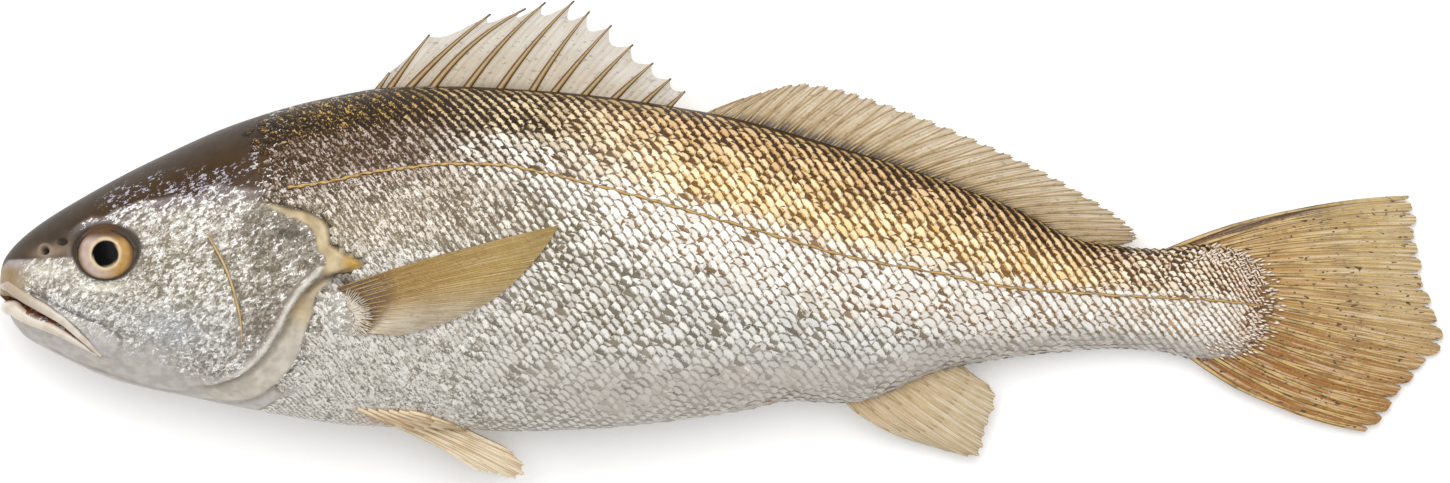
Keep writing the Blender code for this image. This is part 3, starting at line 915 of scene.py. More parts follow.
@dataclass(frozen=True)
class EyeFinish:
    """A wet eye: black pupil, pale ring and a mottled iris, coloured by vertex."""

    def make(self) -> bpy.types.Material:
        """Builds the material."""
        finish = Finish("wet_eye")
        where = finish.place()
        tint = finish.attribute("tint", True)
        cloud = finish.grain(where, 1.6, 3.0)
        fine = finish.grain(where, 0.35, 2.0)
        colour = finish.mix(cloud.step(0.4, 0.65) * 0.4, tint, (0.7, 0.66, 0.6), "MULTIPLY")
        colour = finish.mix(fine.step(0.5, 0.75) * 0.2, colour, (0.8, 0.7, 0.6), "MULTIPLY")
        return finish.finish(
            Base_Color=colour,
            Roughness=0.22 + (fine - 0.5) * 0.1,
            Normal=finish.bump(fine, 0.05, 0.3),
            Specular_IOR_Level=0.06,
        )


@dataclass
class Skin:
    """A length of the body's skin with its relief, closed at both ends."""

    name: str
    start: float
    end: float
    rows: int
    around: int
    crowding: float
    table_gap: float = 0.5

    def stations(self) -> Array:
        """Distances of the mesh's rings behind the snout tip, closer together at the start."""
        return self.start + (self.end - self.start) * np.linspace(0, 1, self.rows) ** self.crowding

    @staticmethod
    def normals(places: Array) -> Array:
        """Outward directions over the grid of skin points.

        Args:
            places: Points in rows along the fish and columns round it.

        Returns:
            A unit direction for each point.
        """
        along = np.gradient(places, axis=0)
        round_ = np.roll(places, -1, axis=1) - np.roll(places, 1, axis=1)
        out = np.cross(round_, along)
        centre = places.mean(axis=1, keepdims=True)
        out *= np.sign(np.sum(out * (places - centre), axis=2, keepdims=True))
        return out / np.maximum(np.linalg.norm(out, axis=2, keepdims=True), 1e-9)

    @staticmethod
    def wrinkles(places: Array, size: float, seed: float) -> Array:
        """Soft lumps of a size, from -1 to 1."""
        offset = Vector((seed, seed * 1.7, seed * 0.6))
        return np.array([noise.noise(Vector(p) / size + offset) for p in places])

    @staticmethod
    def eye_radius(plan: Array) -> Array:
        """Distance from the eye's middle, 1 at the edge of the lids' opening.

        Args:
            plan: The plan points.

        Returns:
            One distance for each point.
        """
        x = (plan[:, 0] - MARKS.eye[0]) / 8.3
        y = (plan[:, 1] - MARKS.eye[1]) / np.where(plan[:, 1] > MARKS.eye[1], 6.7, 6.9)
        return np.hypot(x, y)

    def relief(self, places: Array) -> Array:
        """How far the skin stands out of the bare body, in millimetres.

        Args:
            places: Points of the bare body.

        Returns:
            The rise at each point.
        """
        plan = places[:, :2]
        x, y = plan.T
        share = BODY.share(x, y)
        facing = ramp(0.0, 0.06, share) * (1 - ramp(0.93, 1.0, share))
        height = np.zeros(len(plan))

        gap, at = line_distance(MARKS.gill_edge, plan)
        ends = ramp(0, 0.08, at) * (1 - ramp(0.95, 1.0, at))
        near = np.exp(-((np.maximum(gap, 0) / 17) ** 2))
        height += 1.6 * ramp(-0.25, 0.35, gap) * near * ends
        height -= 0.7 * np.exp(-(((gap + 0.9) / 0.9) ** 2)) * ends

        gap, at = line_distance(MARKS.bone_edge, plan)
        ends = ramp(0, 0.1, at) * (x < 96)
        height += 0.5 * ramp(-0.5, 0.5, gap) * np.exp(-((np.maximum(gap, 0) / 9) ** 2)) * ends
        height -= 0.35 * np.exp(-(((gap + 0.7) / 0.6) ** 2)) * ends
        rolled = np.exp(-(((gap - 1.3) / 0.8) ** 2)) * (y < 2) * ramp(-30, -24, y)
        height += 0.45 * rolled

        gap, at = line_distance(MARKS.membrane_edge, plan)
        ends = ramp(0, 0.06, at) * (1 - ramp(0.92, 1.0, at))
        height += 0.5 * ramp(-0.6, 0.6, gap) * np.exp(-((np.maximum(gap, 0) / 8) ** 2)) * ends
        height -= 0.25 * np.exp(-(((gap + 0.8) / 0.8) ** 2)) * ends
        folds = np.sin(gap * 2.6) * np.exp(-(((gap - 4) / 3) ** 2)) * ramp(0.35, 0.6, at) * ends
        height += 0.22 * folds

        gap, at = line_distance(MARKS.cheek_edge, plan)
        ends = ramp(0, 0.12, at) * (1 - ramp(0.88, 1.0, at))
        height += 0.75 * ramp(-0.2, 0.4, gap) * np.exp(-((np.maximum(gap, 0) / 7) ** 2)) * ends
        height -= 0.5 * np.exp(-(((gap + 0.5) / 0.7) ** 2)) * ends

        plate = inside_distance(MARKS.jaw_plate, plan)
        height += 0.8 * ramp(-0.1, 0.9, plate) - 0.4 * np.exp(-(((plate + 0.5) / 0.5) ** 2))
        height -= 3.2 * ramp(-0.2, 0.9, inside_distance(MARKS.gape, plan))
        fold, at = line_distance(MARKS.jaw_fold, plan)
        height -= 0.45 * np.exp(-((fold / 0.5) ** 2)) * ramp(0, 0.1, at) * (1 - ramp(0.9, 1.0, at))

        radius = self.eye_radius(plan)
        angle = np.arctan2(y - MARKS.eye[1], x - MARKS.eye[0])
        height += 0.9 * np.exp(-(((radius - 1.03) / 0.09) ** 2))
        height -= 0.35 * np.exp(-(((radius - 1.25) / 0.07) ** 2))
        height = np.where(radius < 0.99, height - 3.4 * (1 - ramp(0.9, 0.99, radius)), height)
        below = ramp(-0.2, 0.5, -np.sin(angle)) * ramp(1.3, 1.6, radius) * (1 - ramp(2.1, 2.7, radius))
        height += 0.2 * np.sin(radius * 13) * below

        ring = np.hypot(x - MARKS.nostril[0], y - MARKS.nostril[1])
        height += 0.35 * np.exp(-(((ring - 1.6) / 0.5) ** 2)) - 1.6 * (1 - ramp(0.75, 1.2, ring))
        slit = np.hypot((x - MARKS.rear_nostril[0]) / 1.7, (y - MARKS.rear_nostril[1]) / 1.1)
        height -= 1.0 * (1 - ramp(0.6, 1.1, slit))
        groove = np.exp(-(((y - 3.2 - 0.04 * x) / 0.6) ** 2)) * ramp(6, 8, x) * (1 - ramp(17, 20, x))
        height -= 0.4 * groove

        head = (1 - ramp(92, 104, x)) * ramp(8, 16, x) * (1 - ramp(0.7, 0.85, share))
        quiet = ramp(1.2, 1.6, radius)
        lumps = 0.3 * self.wrinkles(places, 2.2, 3.0) + 0.45 * self.wrinkles(places, 5.5, 9.0)
        height += head * quiet * lumps
        height -= 0.75 * ramp(92, 100, x) * gap_behind(plan)
        return height * facing

    def colours(self, places: Array) -> tuple[Array, Array, Array]:
        """Colour, crinkled silver and sparse glints of the skin.

        Args:
            places: Points of the bare body.

        Returns:
            A colour for each point, and its shares of silver and of glints.
        """
        plan = places[:, :2]
        x, y = plan.T
        share = BODY.share(x, y)
        _, half, low, _ = flank_colours(x, share)
        trunk = blend(half, low, np.full(len(x), 0.5))
        lumps = self.wrinkles(places, 6.0, 21.0)

        def spread(*colour: float) -> Array:
            """One colour for every point."""
            return np.broadcast_to(srgb(*colour), (len(x), 3))

        top = MARKS.crown_line(x)
        above = y - top
        head = blend(spread(200, 193, 186), spread(220, 217, 212), ramp(0.1, 0.28, share))
        head = blend(head, spread(204, 196, 182), ramp(0.34, 0.46, share))
        cover = ramp(64, 76, x) * ramp(-26, -14, y)
        head = blend(head, spread(170, 161, 146), cover * 0.9)
        warm = np.exp(-(((x - 56) / 18) ** 2 + ((y + 4) / 9) ** 2))
        head = blend(head, spread(204, 195, 170), warm * 0.6)
        cool = np.exp(-(((x - 50) / 9) ** 2 + ((y + 17) / 6) ** 2))
        head = blend(head, spread(178, 181, 186), cool * 0.7)
        head = blend(head, spread(168, 154, 160), ramp(-6, -1, above + 1.5 * lumps) * 0.8)
        brown = ramp(-0.8, 1.0, above + 2.6 * lumps)
        head = blend(head, spread(70, 48, 22), brown)
        head = blend(head, spread(72, 58, 44), ramp(0.86, 0.97, share))
        groove = 3.2 + 0.05 * x
        snout = (1 - ramp(18, 30, x)) * ramp(-0.3, 0.5, y - groove)
        head = blend(head, spread(70, 56, 42), snout)
        ridge = np.exp(-(((x - 15.5) / 5) ** 2 + ((y - 5.8 - 0.14 * (x - 15)) / 1.9) ** 2)) * snout
        head = blend(head, spread(172, 146, 124), ridge * 0.9)
        # Brighter patches on the snout and under the eye: painted highlights on the silver skin.
        patch = np.exp(-(((x - 14.5) / 7) ** 2 + ((y - 0.2) / 2.6) ** 2))
        band = np.exp(-(((x - 31) / 10) ** 2 + ((y + 4.6 - 0.012 * (x - 31) ** 2) / 1.8) ** 2))
        painted_highlight = np.maximum(patch, band)
        head = blend(head, spread(250, 244, 226), painted_highlight * (1 - snout) * 0.85)
        tip = 1 - ramp(3, 12, x)
        head = blend(head, spread(168, 144, 106), tip * (1 - ramp(0, 3, y)))
        foil = ramp(0.05, 0.13, share) * (1 - brown) * (1 - snout) * (1 - tip) * (1 - 0.4 * cool) * (1 - 0.5 * painted_highlight)
        glints = foil * (0.5 + 0.15 * warm + 0.35 * painted_highlight - 0.2 * cover + 0.15 * ramp(-7, -2, above))
        speckle = brown * (1 - ramp(3, 10, above)) * ramp(24, 40, x)
        glints = np.maximum(glints, speckle * 0.42)
        behind = np.where(y > 20.5, ramp(66, 84, x), ramp(92, 100, x))
        tint = blend(head, trunk, behind)
        nape = behind * ramp(0.62, 0.7, share) * (x < 130)
        foil = np.maximum(foil * (1 - behind), nape * 0.6)
        glints = np.maximum(glints * (1 - behind), nape * (0.5 - 0.3 * ramp(0.8, 0.95, share)))

        gap, at = line_distance(MARKS.gill_edge, plan)
        bone, _ = line_distance(MARKS.bone_edge, plan)
        flap = ramp(-0.2, 0.4, gap) * (1 - ramp(-0.4, 0.6, bone)) * ramp(0.02, 0.1, at) * (x > 74) * (y > -6)
        cream = blend(spread(220, 200, 158), spread(206, 160, 66), ramp(98, 103, x))
        cream = blend(cream, spread(158, 122, 70), ramp(-0.1, 0.6, lumps) * 0.7)
        tint = blend(tint, cream, flap * 0.92)
        membrane, m_at = line_distance(MARKS.membrane_edge, plan)
        pale = ramp(-0.3, 0.3, membrane) * (1 - ramp(-0.5, 0.3, bone)) * (1 - ramp(0.3, 1.2, gap)) * (x > 50)
        pale = pale * (1 - ramp(0.9, 1.0, m_at)) * ramp(0.0, 0.05, m_at) * (y < 0)
        beige = blend(spread(220, 210, 192), spread(204, 174, 118), ramp(-20, -6, y))
        beige = blend(beige, spread(190, 182, 170), ramp(-0.4, 0.4, lumps) * 0.5)
        tint = blend(tint, beige, pale * 0.85)
        edge = np.exp(-(((bone - 1.2) / 0.9) ** 2)) * (y < 2) * ramp(-33, -27, y) * (x > 60)
        tint = blend(tint, spread(238, 232, 220), edge * 0.9)
        inner = np.exp(-(((bone - 2.7) / 0.35) ** 2)) * (y < 1) * ramp(-30, -24, y) * (x > 66)
        tint = blend(tint, spread(128, 104, 88), inner * 0.7)
        plain = np.maximum.reduce((flap, pale, edge, inner))
        foil = foil * (1 - plain)
        glints = glints * (1 - plain)
        # Painted shadow: a darker band just behind the free edges of the gill cover and its membrane, under their
        # overhang.
        for distance, where in ((gap, at), (membrane, m_at)):
            under = np.exp(-(((distance + 0.8) / 0.7) ** 2)) * ramp(0.03, 0.08, where) * (1 - ramp(0.9, 1.0, where))
            tint = blend(tint, spread(104, 88, 66), under * np.where(y < -6, 0.3, 0.7))
        slot = np.exp(-(((gap - 0.2) / 0.7) ** 2)) * ramp(0.0, 0.06, at) * (1 - ramp(0.2, 0.3, at))
        tint = blend(tint, spread(96, 76, 50), slot * 0.7)
        cheek, c_at = line_distance(MARKS.cheek_edge, plan)
        crease = np.exp(-(((cheek + 0.1) / 0.4) ** 2)) * ramp(0.02, 0.1, c_at) * (1 - ramp(0.85, 1.0, c_at))
        tint = blend(tint, spread(158, 132, 92), crease * 0.9)
        foil = foil * (1 - crease)
        blotch = np.exp(-(((x - 85) / 5) ** 2 + ((y - 11.4 + 0.15 * (x - 85)) / 1.6) ** 2))
        tint = blend(tint, spread(78, 70, 52), blotch * 0.8)
        glints = glints * (1 - blotch)

        plate = inside_distance(MARKS.jaw_plate, plan)
        tint = blend(tint, spread(214, 209, 202), ramp(0, 0.8, plate) * 0.8)
        foil = foil * (1 - 0.6 * ramp(0, 0.8, plate))
        border = np.exp(-(((plate + 0.2) / 0.45) ** 2)) * (x > 9) * ramp(-24, -20, y)
        tint = blend(tint, spread(70, 52, 40), border * 0.9)
        foil = foil * (1 - border)
        jaw = (1 - ramp(44, 60, x)) * (1 - ramp(0.12, 0.26, share)) * (y < -10)
        tint = blend(tint, spread(204, 197, 190), jaw * 0.8)
        foil = foil * (1 - 0.8 * jaw)
        glints = glints * (1 - 0.6 * jaw)
        fold, f_at = line_distance(MARKS.jaw_fold, plan)
        fold = np.exp(-((fold / 0.4) ** 2)) * ramp(0, 0.1, f_at) * (1 - ramp(0.9, 1.0, f_at))
        tint = blend(tint, spread(158, 136, 128), fold * 0.6)
        mouth = ramp(-0.6, 0.3, inside_distance(MARKS.gape, plan))
        tint = blend(tint, spread(120, 68, 32), mouth)
        foil = foil * (1 - mouth)

        radius = self.eye_radius(plan)
        # A dark brown eye socket that widens towards the top, where it is painted shade from the lid.
        high = ramp(-0.6, 0.9, (y - MARKS.eye[1]) / 7)
        socket_and_lid_shadow = 1 - ramp(1.08 + 0.2 * high, 1.18 + 0.36 * high, radius)
        bridge = np.exp(-(((x - 22) / 4) ** 2 + ((y - 6) / 3) ** 2))
        tint = blend(tint, spread(128, 112, 94), bridge * 0.8)
        tint = blend(tint, spread(52, 38, 24), socket_and_lid_shadow * 0.95)
        plain = np.maximum(socket_and_lid_shadow, bridge)
        foil = foil * (1 - plain)
        glints = glints * (1 - plain)
        ring = np.hypot(x - MARKS.nostril[0], y - MARKS.nostril[1])
        tint = blend(tint, spread(158, 142, 122), np.exp(-(((ring - 1.8) / 0.45) ** 2)) * 0.8)
        # Painted shade: both nostrils are dark inside their pits.
        tint = blend(tint, spread(34, 26, 20), 1 - ramp(0.7, 1.2, ring))
        slit = np.hypot((x - MARKS.rear_nostril[0]) / 1.7, (y - MARKS.rear_nostril[1]) / 1.1)
        tint = blend(tint, spread(48, 36, 28), (1 - ramp(0.6, 1.2, slit)) * 0.9)
        # Painted shade: a dark spot in the hollow above the pectoral fin's root.
        axil_shade = np.exp(-(((x - 101.0) / 4.0) ** 2) - ((y + 2.2) / 2.2) ** 2)
        tint = blend(tint, spread(78, 56, 34), 0.95 * axil_shade)
        foil, glints = foil * (1 - axil_shade), glints * (1 - axil_shade)
        return tint, np.clip(foil, 0, 1), np.clip(glints, 0, 1)

    @staticmethod
    def set_back(places: Array) -> Array:
        """Draws the front of the lower jaw back behind the snout.

        Args:
            places: Points of the skin, which are changed.

        Returns:
            The same points.
        """
        x, y = places[..., 0], places[..., 1]
        places[..., 0] = x + 2.0 * (1 - ramp(0, 9, x)) * (1 - ramp(-9, -7.5, y))
        return places

    def make(self) -> bpy.types.Object:
        """Builds the piece."""
        x = self.stations()
        turn = np.linspace(0, 2 * math.pi, self.around + 1)
        bare = BODY.point(x[:, None], turn[None, :-1])
        out = self.normals(bare)
        lift = self.relief(bare.reshape(-1, 3)).reshape(bare.shape[:2])
        places = self.set_back(bare + out * lift[..., None])
        places[..., 2] = np.maximum(places[..., 2], self.table_gap)
        places = np.concatenate((places, places[:, :1]), axis=1)
        tint, foil, glints = self.colours(bare.reshape(-1, 3))
        tint = tint.reshape(*bare.shape)
        piece, spot = Stage.grid(self.name, places)
        row, column = spot[:, 0], spot[:, 1] % self.around
        Stage.paint(piece, "tint", tint[row, column])
        Stage.paint(piece, "foil", foil.reshape(bare.shape[:2])[row, column])
        Stage.paint(piece, "glints", glints.reshape(bare.shape[:2])[row, column])
        Stage.close(piece)
        Stage.smooth(piece, 80)
        Stage.settle(piece, SkinFinish().make(), "fish_skin", "fish")
        return piece


def flank_colours(x: Array, share: Array) -> tuple[Array, Array, Array, Array]:
    """The colours of the flanks.

    Args:
        x: Distance behind the snout tip.
        share: Height as a share of the body's height.

    Returns:
        For each point the bright colour, which is the scales' painted glint, the middle colour, the dark colour,
        which serves both as dark pigment and as painted shade between the scales, and how bright scales are.
    """
    line = MARKS.line_share(x)
    over = (share - line) / (1 - line)
    under = share / line
    rear = ramp(150, 205, x)
    tail = ramp(305, 340, x)
    nape = 1 - ramp(112, 150, x)
    front = 1 - ramp(130, 185, x)
    upper = ramp(-0.04 - 0.5 * front, 0.24, over)
    flank = ramp(0.22, 0.45, under) * (1 - ramp(0.85, 1.0, under))
    # Whiter scales just below the lateral line on the rear half: a painted highlight.
    painted_highlight = ramp(-0.8, -0.35, over) * (1 - ramp(0.0, 0.2, over)) * ramp(150, 200, x)
    layers = (
        (1 - ramp(0.16, 0.42, under), (212, 206, 198), (196, 189, 179), (180, 172, 162), 0.45),
        (flank * (1 - rear * 0.6), (242, 239, 231), (168, 159, 140), (110, 98, 74), 0.37),
        (front * ramp(0.5, 0.8, under), (234, 226, 214), (170, 157, 137), (118, 102, 78), 0.32),
        (front * (1 - ramp(0.5, 0.8, under)), (240, 237, 230), (194, 188, 178), (144, 136, 122), 0.46),
        (painted_highlight, (255, 252, 245), (230, 219, 202), (136, 108, 78), 0.74),
        (upper * (1 - rear), (246, 239, 230), (170, 153, 130), (80, 62, 40), 0.6),
        (upper * (1 - rear) * ramp(0.25, 0.55, over), (250, 228, 184), (112, 86, 50), (44, 30, 14), 0.36),
        (upper * nape, (200, 186, 180), (106, 80, 48), (58, 38, 16), 0.3),
        (upper * nape * ramp(0.45, 0.7, over), (222, 180, 92), (66, 44, 18), (34, 21, 7), 0.2),
        (upper * rear, (255, 238, 200), (238, 192, 112), (122, 86, 44), 0.55),
        (upper * rear * ramp(0.35, 0.85, over), (246, 216, 168), (186, 132, 62), (64, 42, 20), 0.42),
        (tail * upper, (252, 242, 226), (190, 154, 106), (86, 58, 32), 0.42),
        (tail * (1 - upper) * ramp(0.2, 0.5, under), (255, 252, 246), (230, 219, 202), (158, 132, 104), 0.66),
        (ramp(0.84, 0.99, over), (206, 170, 110), (74, 52, 26), (30, 20, 9), 0.26),
        (ramp(350, 368, x), (250, 240, 228), (186, 146, 106), (118, 78, 46), 0.4),
    )
    core, middle, gap = (
        np.broadcast_to(srgb(*colour), (len(x), 3)) for colour in ((252, 251, 248), (216, 213, 207), (146, 138, 124))
    )
    facet = np.full(len(x), 0.62)
    for weight, high, half, low, level in layers:
        core = blend(core, srgb(*high), weight)
        middle = blend(middle, srgb(*half), weight)
        gap = blend(gap, srgb(*low), weight)
        facet = facet + (level - facet) * weight
    return core, middle, gap, facet


def gap_behind(plan: Array) -> Array:
    """1 behind the gill cover and on the nape, where scales lie on the skin, and 0 ahead of it.

    Args:
        plan: The plan points.

    Returns:
        1 or 0 for each point.
    """
    gap, _ = line_distance(MARKS.gill_edge, plan)
    membrane, _ = line_distance(MARKS.membrane_edge, plan)
    x, y = plan.T
    behind = np.where(y > 20.5, x > 70, gap < -1.2)
    behind &= np.where(y < 0, membrane < -1.2, True)
    behind &= np.where(y < -34, x > 88 + 2 * (y + 34), True)
    return behind.astype(float)


@dataclass
class PectoralLobe:
    """The fleshy scaled lobe that carries one side fin, with a fringe of narrow scales."""

    side: Side
    rise: float = 0.95
    rings: int = 18
    around: int = 64
    fringe_rows: int = 4
    fringe_count: int = 30

    @staticmethod
    def outline() -> Array:
        """The lobe's edge in plan."""
        corners = (
            (98.0, -4.4), (101.6, -5.9), (104.4, -7.9), (106.4, -10.4), (107.0, -13.3), (106.6, -16.2),
            (104.4, -18.6), (101.2, -19.4), (97.6, -18.4), (95.2, -15.4), (94.3, -11.6), (95.0, -7.8),
            (96.2, -5.2), (98.0, -4.4),
        )
        return Track(corners).points(65)[:-1]

    def top(self, plan: Array, spread: Array) -> Array:
        """The lobe's surface at plan points a share of the way out to its edge.

        Args:
            plan: The plan points.
            spread: Each point's share of the way out.

        Returns:
            The points in millimetres.
        """
        lift = self.rise * (1 - spread**2.4) - 0.35 * spread**4
        if self.side is Side.RIGHT:
            lift = lift * 0.4
        return BODY.over(plan, self.side, lift)

    def make(self) -> bpy.types.Object:
        """Builds the lobe and its fringe."""
        edge = self.outline()
        middle = np.array(MARKS.lobe)
        spread = np.linspace(0, 1, self.rings) ** 0.8
        ring = np.vstack((edge, edge[:1]))
        plan = middle + (ring[None, :, :] - middle) * spread[:, None, None]
        places = self.top(plan, np.broadcast_to(spread[:, None], plan.shape[:2]))
        piece, spot = Stage.grid(f"pectoral_lobe_{self.side.word}", places)
        at = plan[spot[:, 0], spot[:, 1]]
        rear = ramp(100, 106, at[:, 0])
        tint = blend(np.broadcast_to(srgb(206, 200, 188), (len(at), 3)), srgb(222, 212, 196), rear)
        Stage.paint(piece, "tint", tint)
        Stage.paint(piece, "foil", np.full(len(at), 0.55))
        Stage.paint(piece, "glints", np.full(len(at), 0.55))
        Stage.close(piece, 0.002)
        Stage.smooth(piece, 80)
        Stage.settle(piece, SkinFinish().make(), "fish_skin")
        self.fringe(edge, middle)
        return piece

    def fringe(self, edge: Array, middle: Array) -> None:
        """Adds the rows of narrow pointed scales at the lobe's rear edge.

        Args:
            edge: The lobe's outline in plan.
            middle: The lobe's middle in plan.
        """
        rng = np.random.default_rng(SEED + 7)
        lines, sizes = [], []
        for row in range(self.fringe_rows):
            for k in range(self.fringe_count):
                at = 4 + (k + 0.5 * (row % 2)) / self.fringe_count * 26
                low = int(at)
                spot = edge[low] * (1 - at + low) + edge[low + 1] * (at - low)
                out = spot - middle
                out = out / np.hypot(*out)
                start = spot - out * (0.9 + 1.0 * row)
                length = 2.1 + rng.normal(0, 0.25)
                bend = rng.normal(0, 0.12)
                aim = np.array((out[0] * 0.9 + 0.35, out[1] * 0.9 + bend))
                t = np.linspace(0, 1, 4)[:, None]
                path = start + aim * length * t
                spread = np.clip(np.hypot(*(path - middle).T) / np.hypot(*(spot - middle)), 0, 1.3)
                lift = self.rise * (1 - np.minimum(spread, 1) ** 2.4) + 0.3 + 0.25 * t[:, 0] + 0.9 * (spread > 1)
                lines.append(BODY.over(path, self.side, lift * (1.0 if self.side is Side.LEFT else 0.4)))
                sizes.append(np.array((0.2, 0.24, 0.16, 0.05)))
        piece = Stage.rods(f"pectoral_fringe_{self.side.word}", lines, sizes)
        Stage.shade_sides(piece)
        Stage.smooth(piece)
        finish = RayFinish("lobe_fringe", (226, 216, 198), (150, 130, 106), 0.3)
        Stage.settle(piece, finish.make(), "fish_skin")


@dataclass
class TailFringe:
    """Narrow loose scales on one flank that run from the body's end out over the tail fin's root."""

    side: Side
    rows: int = 6
    count: int = 30
    middle: Pair = (336.0, -8.6)
    edge: Track = field(default_factory=lambda: Track((
        (350, 7.2), (360, 5.2), (366.4, 0.6), (370.4, -8.6), (367.8, -17.4), (361.8, -22.4), (352, -24.4),
    )))

    def make(self) -> bpy.types.Object:
        """Builds the piece."""
        rng = np.random.default_rng(SEED + 11 + self.side.value)
        t = np.linspace(0, 1, 4)
        lines, sizes = [], []
        for row in range(self.rows):
            for k in range(self.count):
                at = (k + 0.5 * (row % 2) + rng.uniform(-0.3, 0.3)) / self.count
                spot = self.edge(np.clip(at, 0, 1))
                out = (spot - self.middle) / np.hypot(*(spot - self.middle))
                start = spot + out * (1.2 * row - 5.0 + rng.normal(0, 0.6))
                path = start + (out + np.array((0.4, 0.0))) * rng.uniform(0.9, 1.6) * t[:, None]
                bare = BODY.over(path, self.side, 0.5)
                fin = BODY.middle(path[:, 0]) + self.side.value * (0.7 + 0.2 * t)
                bare[:, 2] = np.maximum(bare[:, 2], fin) if self.side is Side.LEFT else np.minimum(bare[:, 2], fin)
                lines.append(bare)
                sizes.append(np.array((0.2, 0.42, 0.34, 0.08)) * rng.uniform(0.6, 1.1))
        piece = Stage.rods(f"tail_fringe_{self.side.word}", lines, sizes)
        Stage.shade_sides(piece)
        Stage.smooth(piece)
        finish = RayFinish("tail_fringe", (248, 240, 226), (176, 138, 96), 0.3)
        Stage.settle(piece, finish.make(), "fish_skin")
        return piece


@dataclass
class Welt:
    """A slim raised edge that follows a line of the head on one flank."""

    name: str
    side: Side
    line: Array
    radii: tuple[float, ...]
    light: tuple[int, int, int]
    dark: tuple[int, int, int]
    lift: float = 0.6

    def make(self) -> bpy.types.Object:
        """Builds the piece."""
        share = np.linspace(0, 1, len(self.line))
        last = len(self.radii) - 1
        size = Curve([(i / last, r) for i, r in enumerate(self.radii)])(share)
        line = BODY.over(self.line, self.side, self.lift)
        piece = Stage.rods(f"{self.name}_{self.side.word}", [line], [size], 2)
        Stage.shade_sides(piece)
        Stage.smooth(piece)
        Stage.settle(piece, RayFinish(self.name, self.light, self.dark, 0.25).make(), "fish_skin")
        return piece


def shades(
    base: tuple, edge: tuple, root: tuple, last: tuple | None = None, first: tuple | None = None,
    foot: Pair = (0.04, 0.26),
) -> Callable[[Array, Array], Array]:
    """Makes a fin's colouring.

    Args:
        base: Screen colour over most of the fin.
        edge: Screen colour towards its free edge.
        root: Screen colour where it leaves the body.
        last: Screen colour towards its last rays, if they differ.
        first: Screen colour of its leading edge, if that differs.
        foot: Shares of the way along the rays between which the root's colour ends.

    Returns:
        A function of the place across the rays and the place along them, both 0 to 1.
    """
    def shade(across: Array, along: Array) -> Array:
        """Colours points of the fin.

        Args:
            across: Each point's place across the rays.
            along: Each point's place along them.

        Returns:
            One colour for each point.
        """
        tint = blend(np.broadcast_to(srgb(*base), (len(across), 3)), srgb(*edge), ramp(0.2, 0.9, along))
        if last is not None:
            tint = blend(tint, srgb(*last), ramp(0.35, 0.85, across))
        if first is not None:
            tint = blend(tint, srgb(*first), (1 - ramp(0.02, 0.1, across)) * (1 - ramp(0.5, 0.9, along)))
        return blend(tint, srgb(*root), 1 - ramp(*foot, along))

    return shade


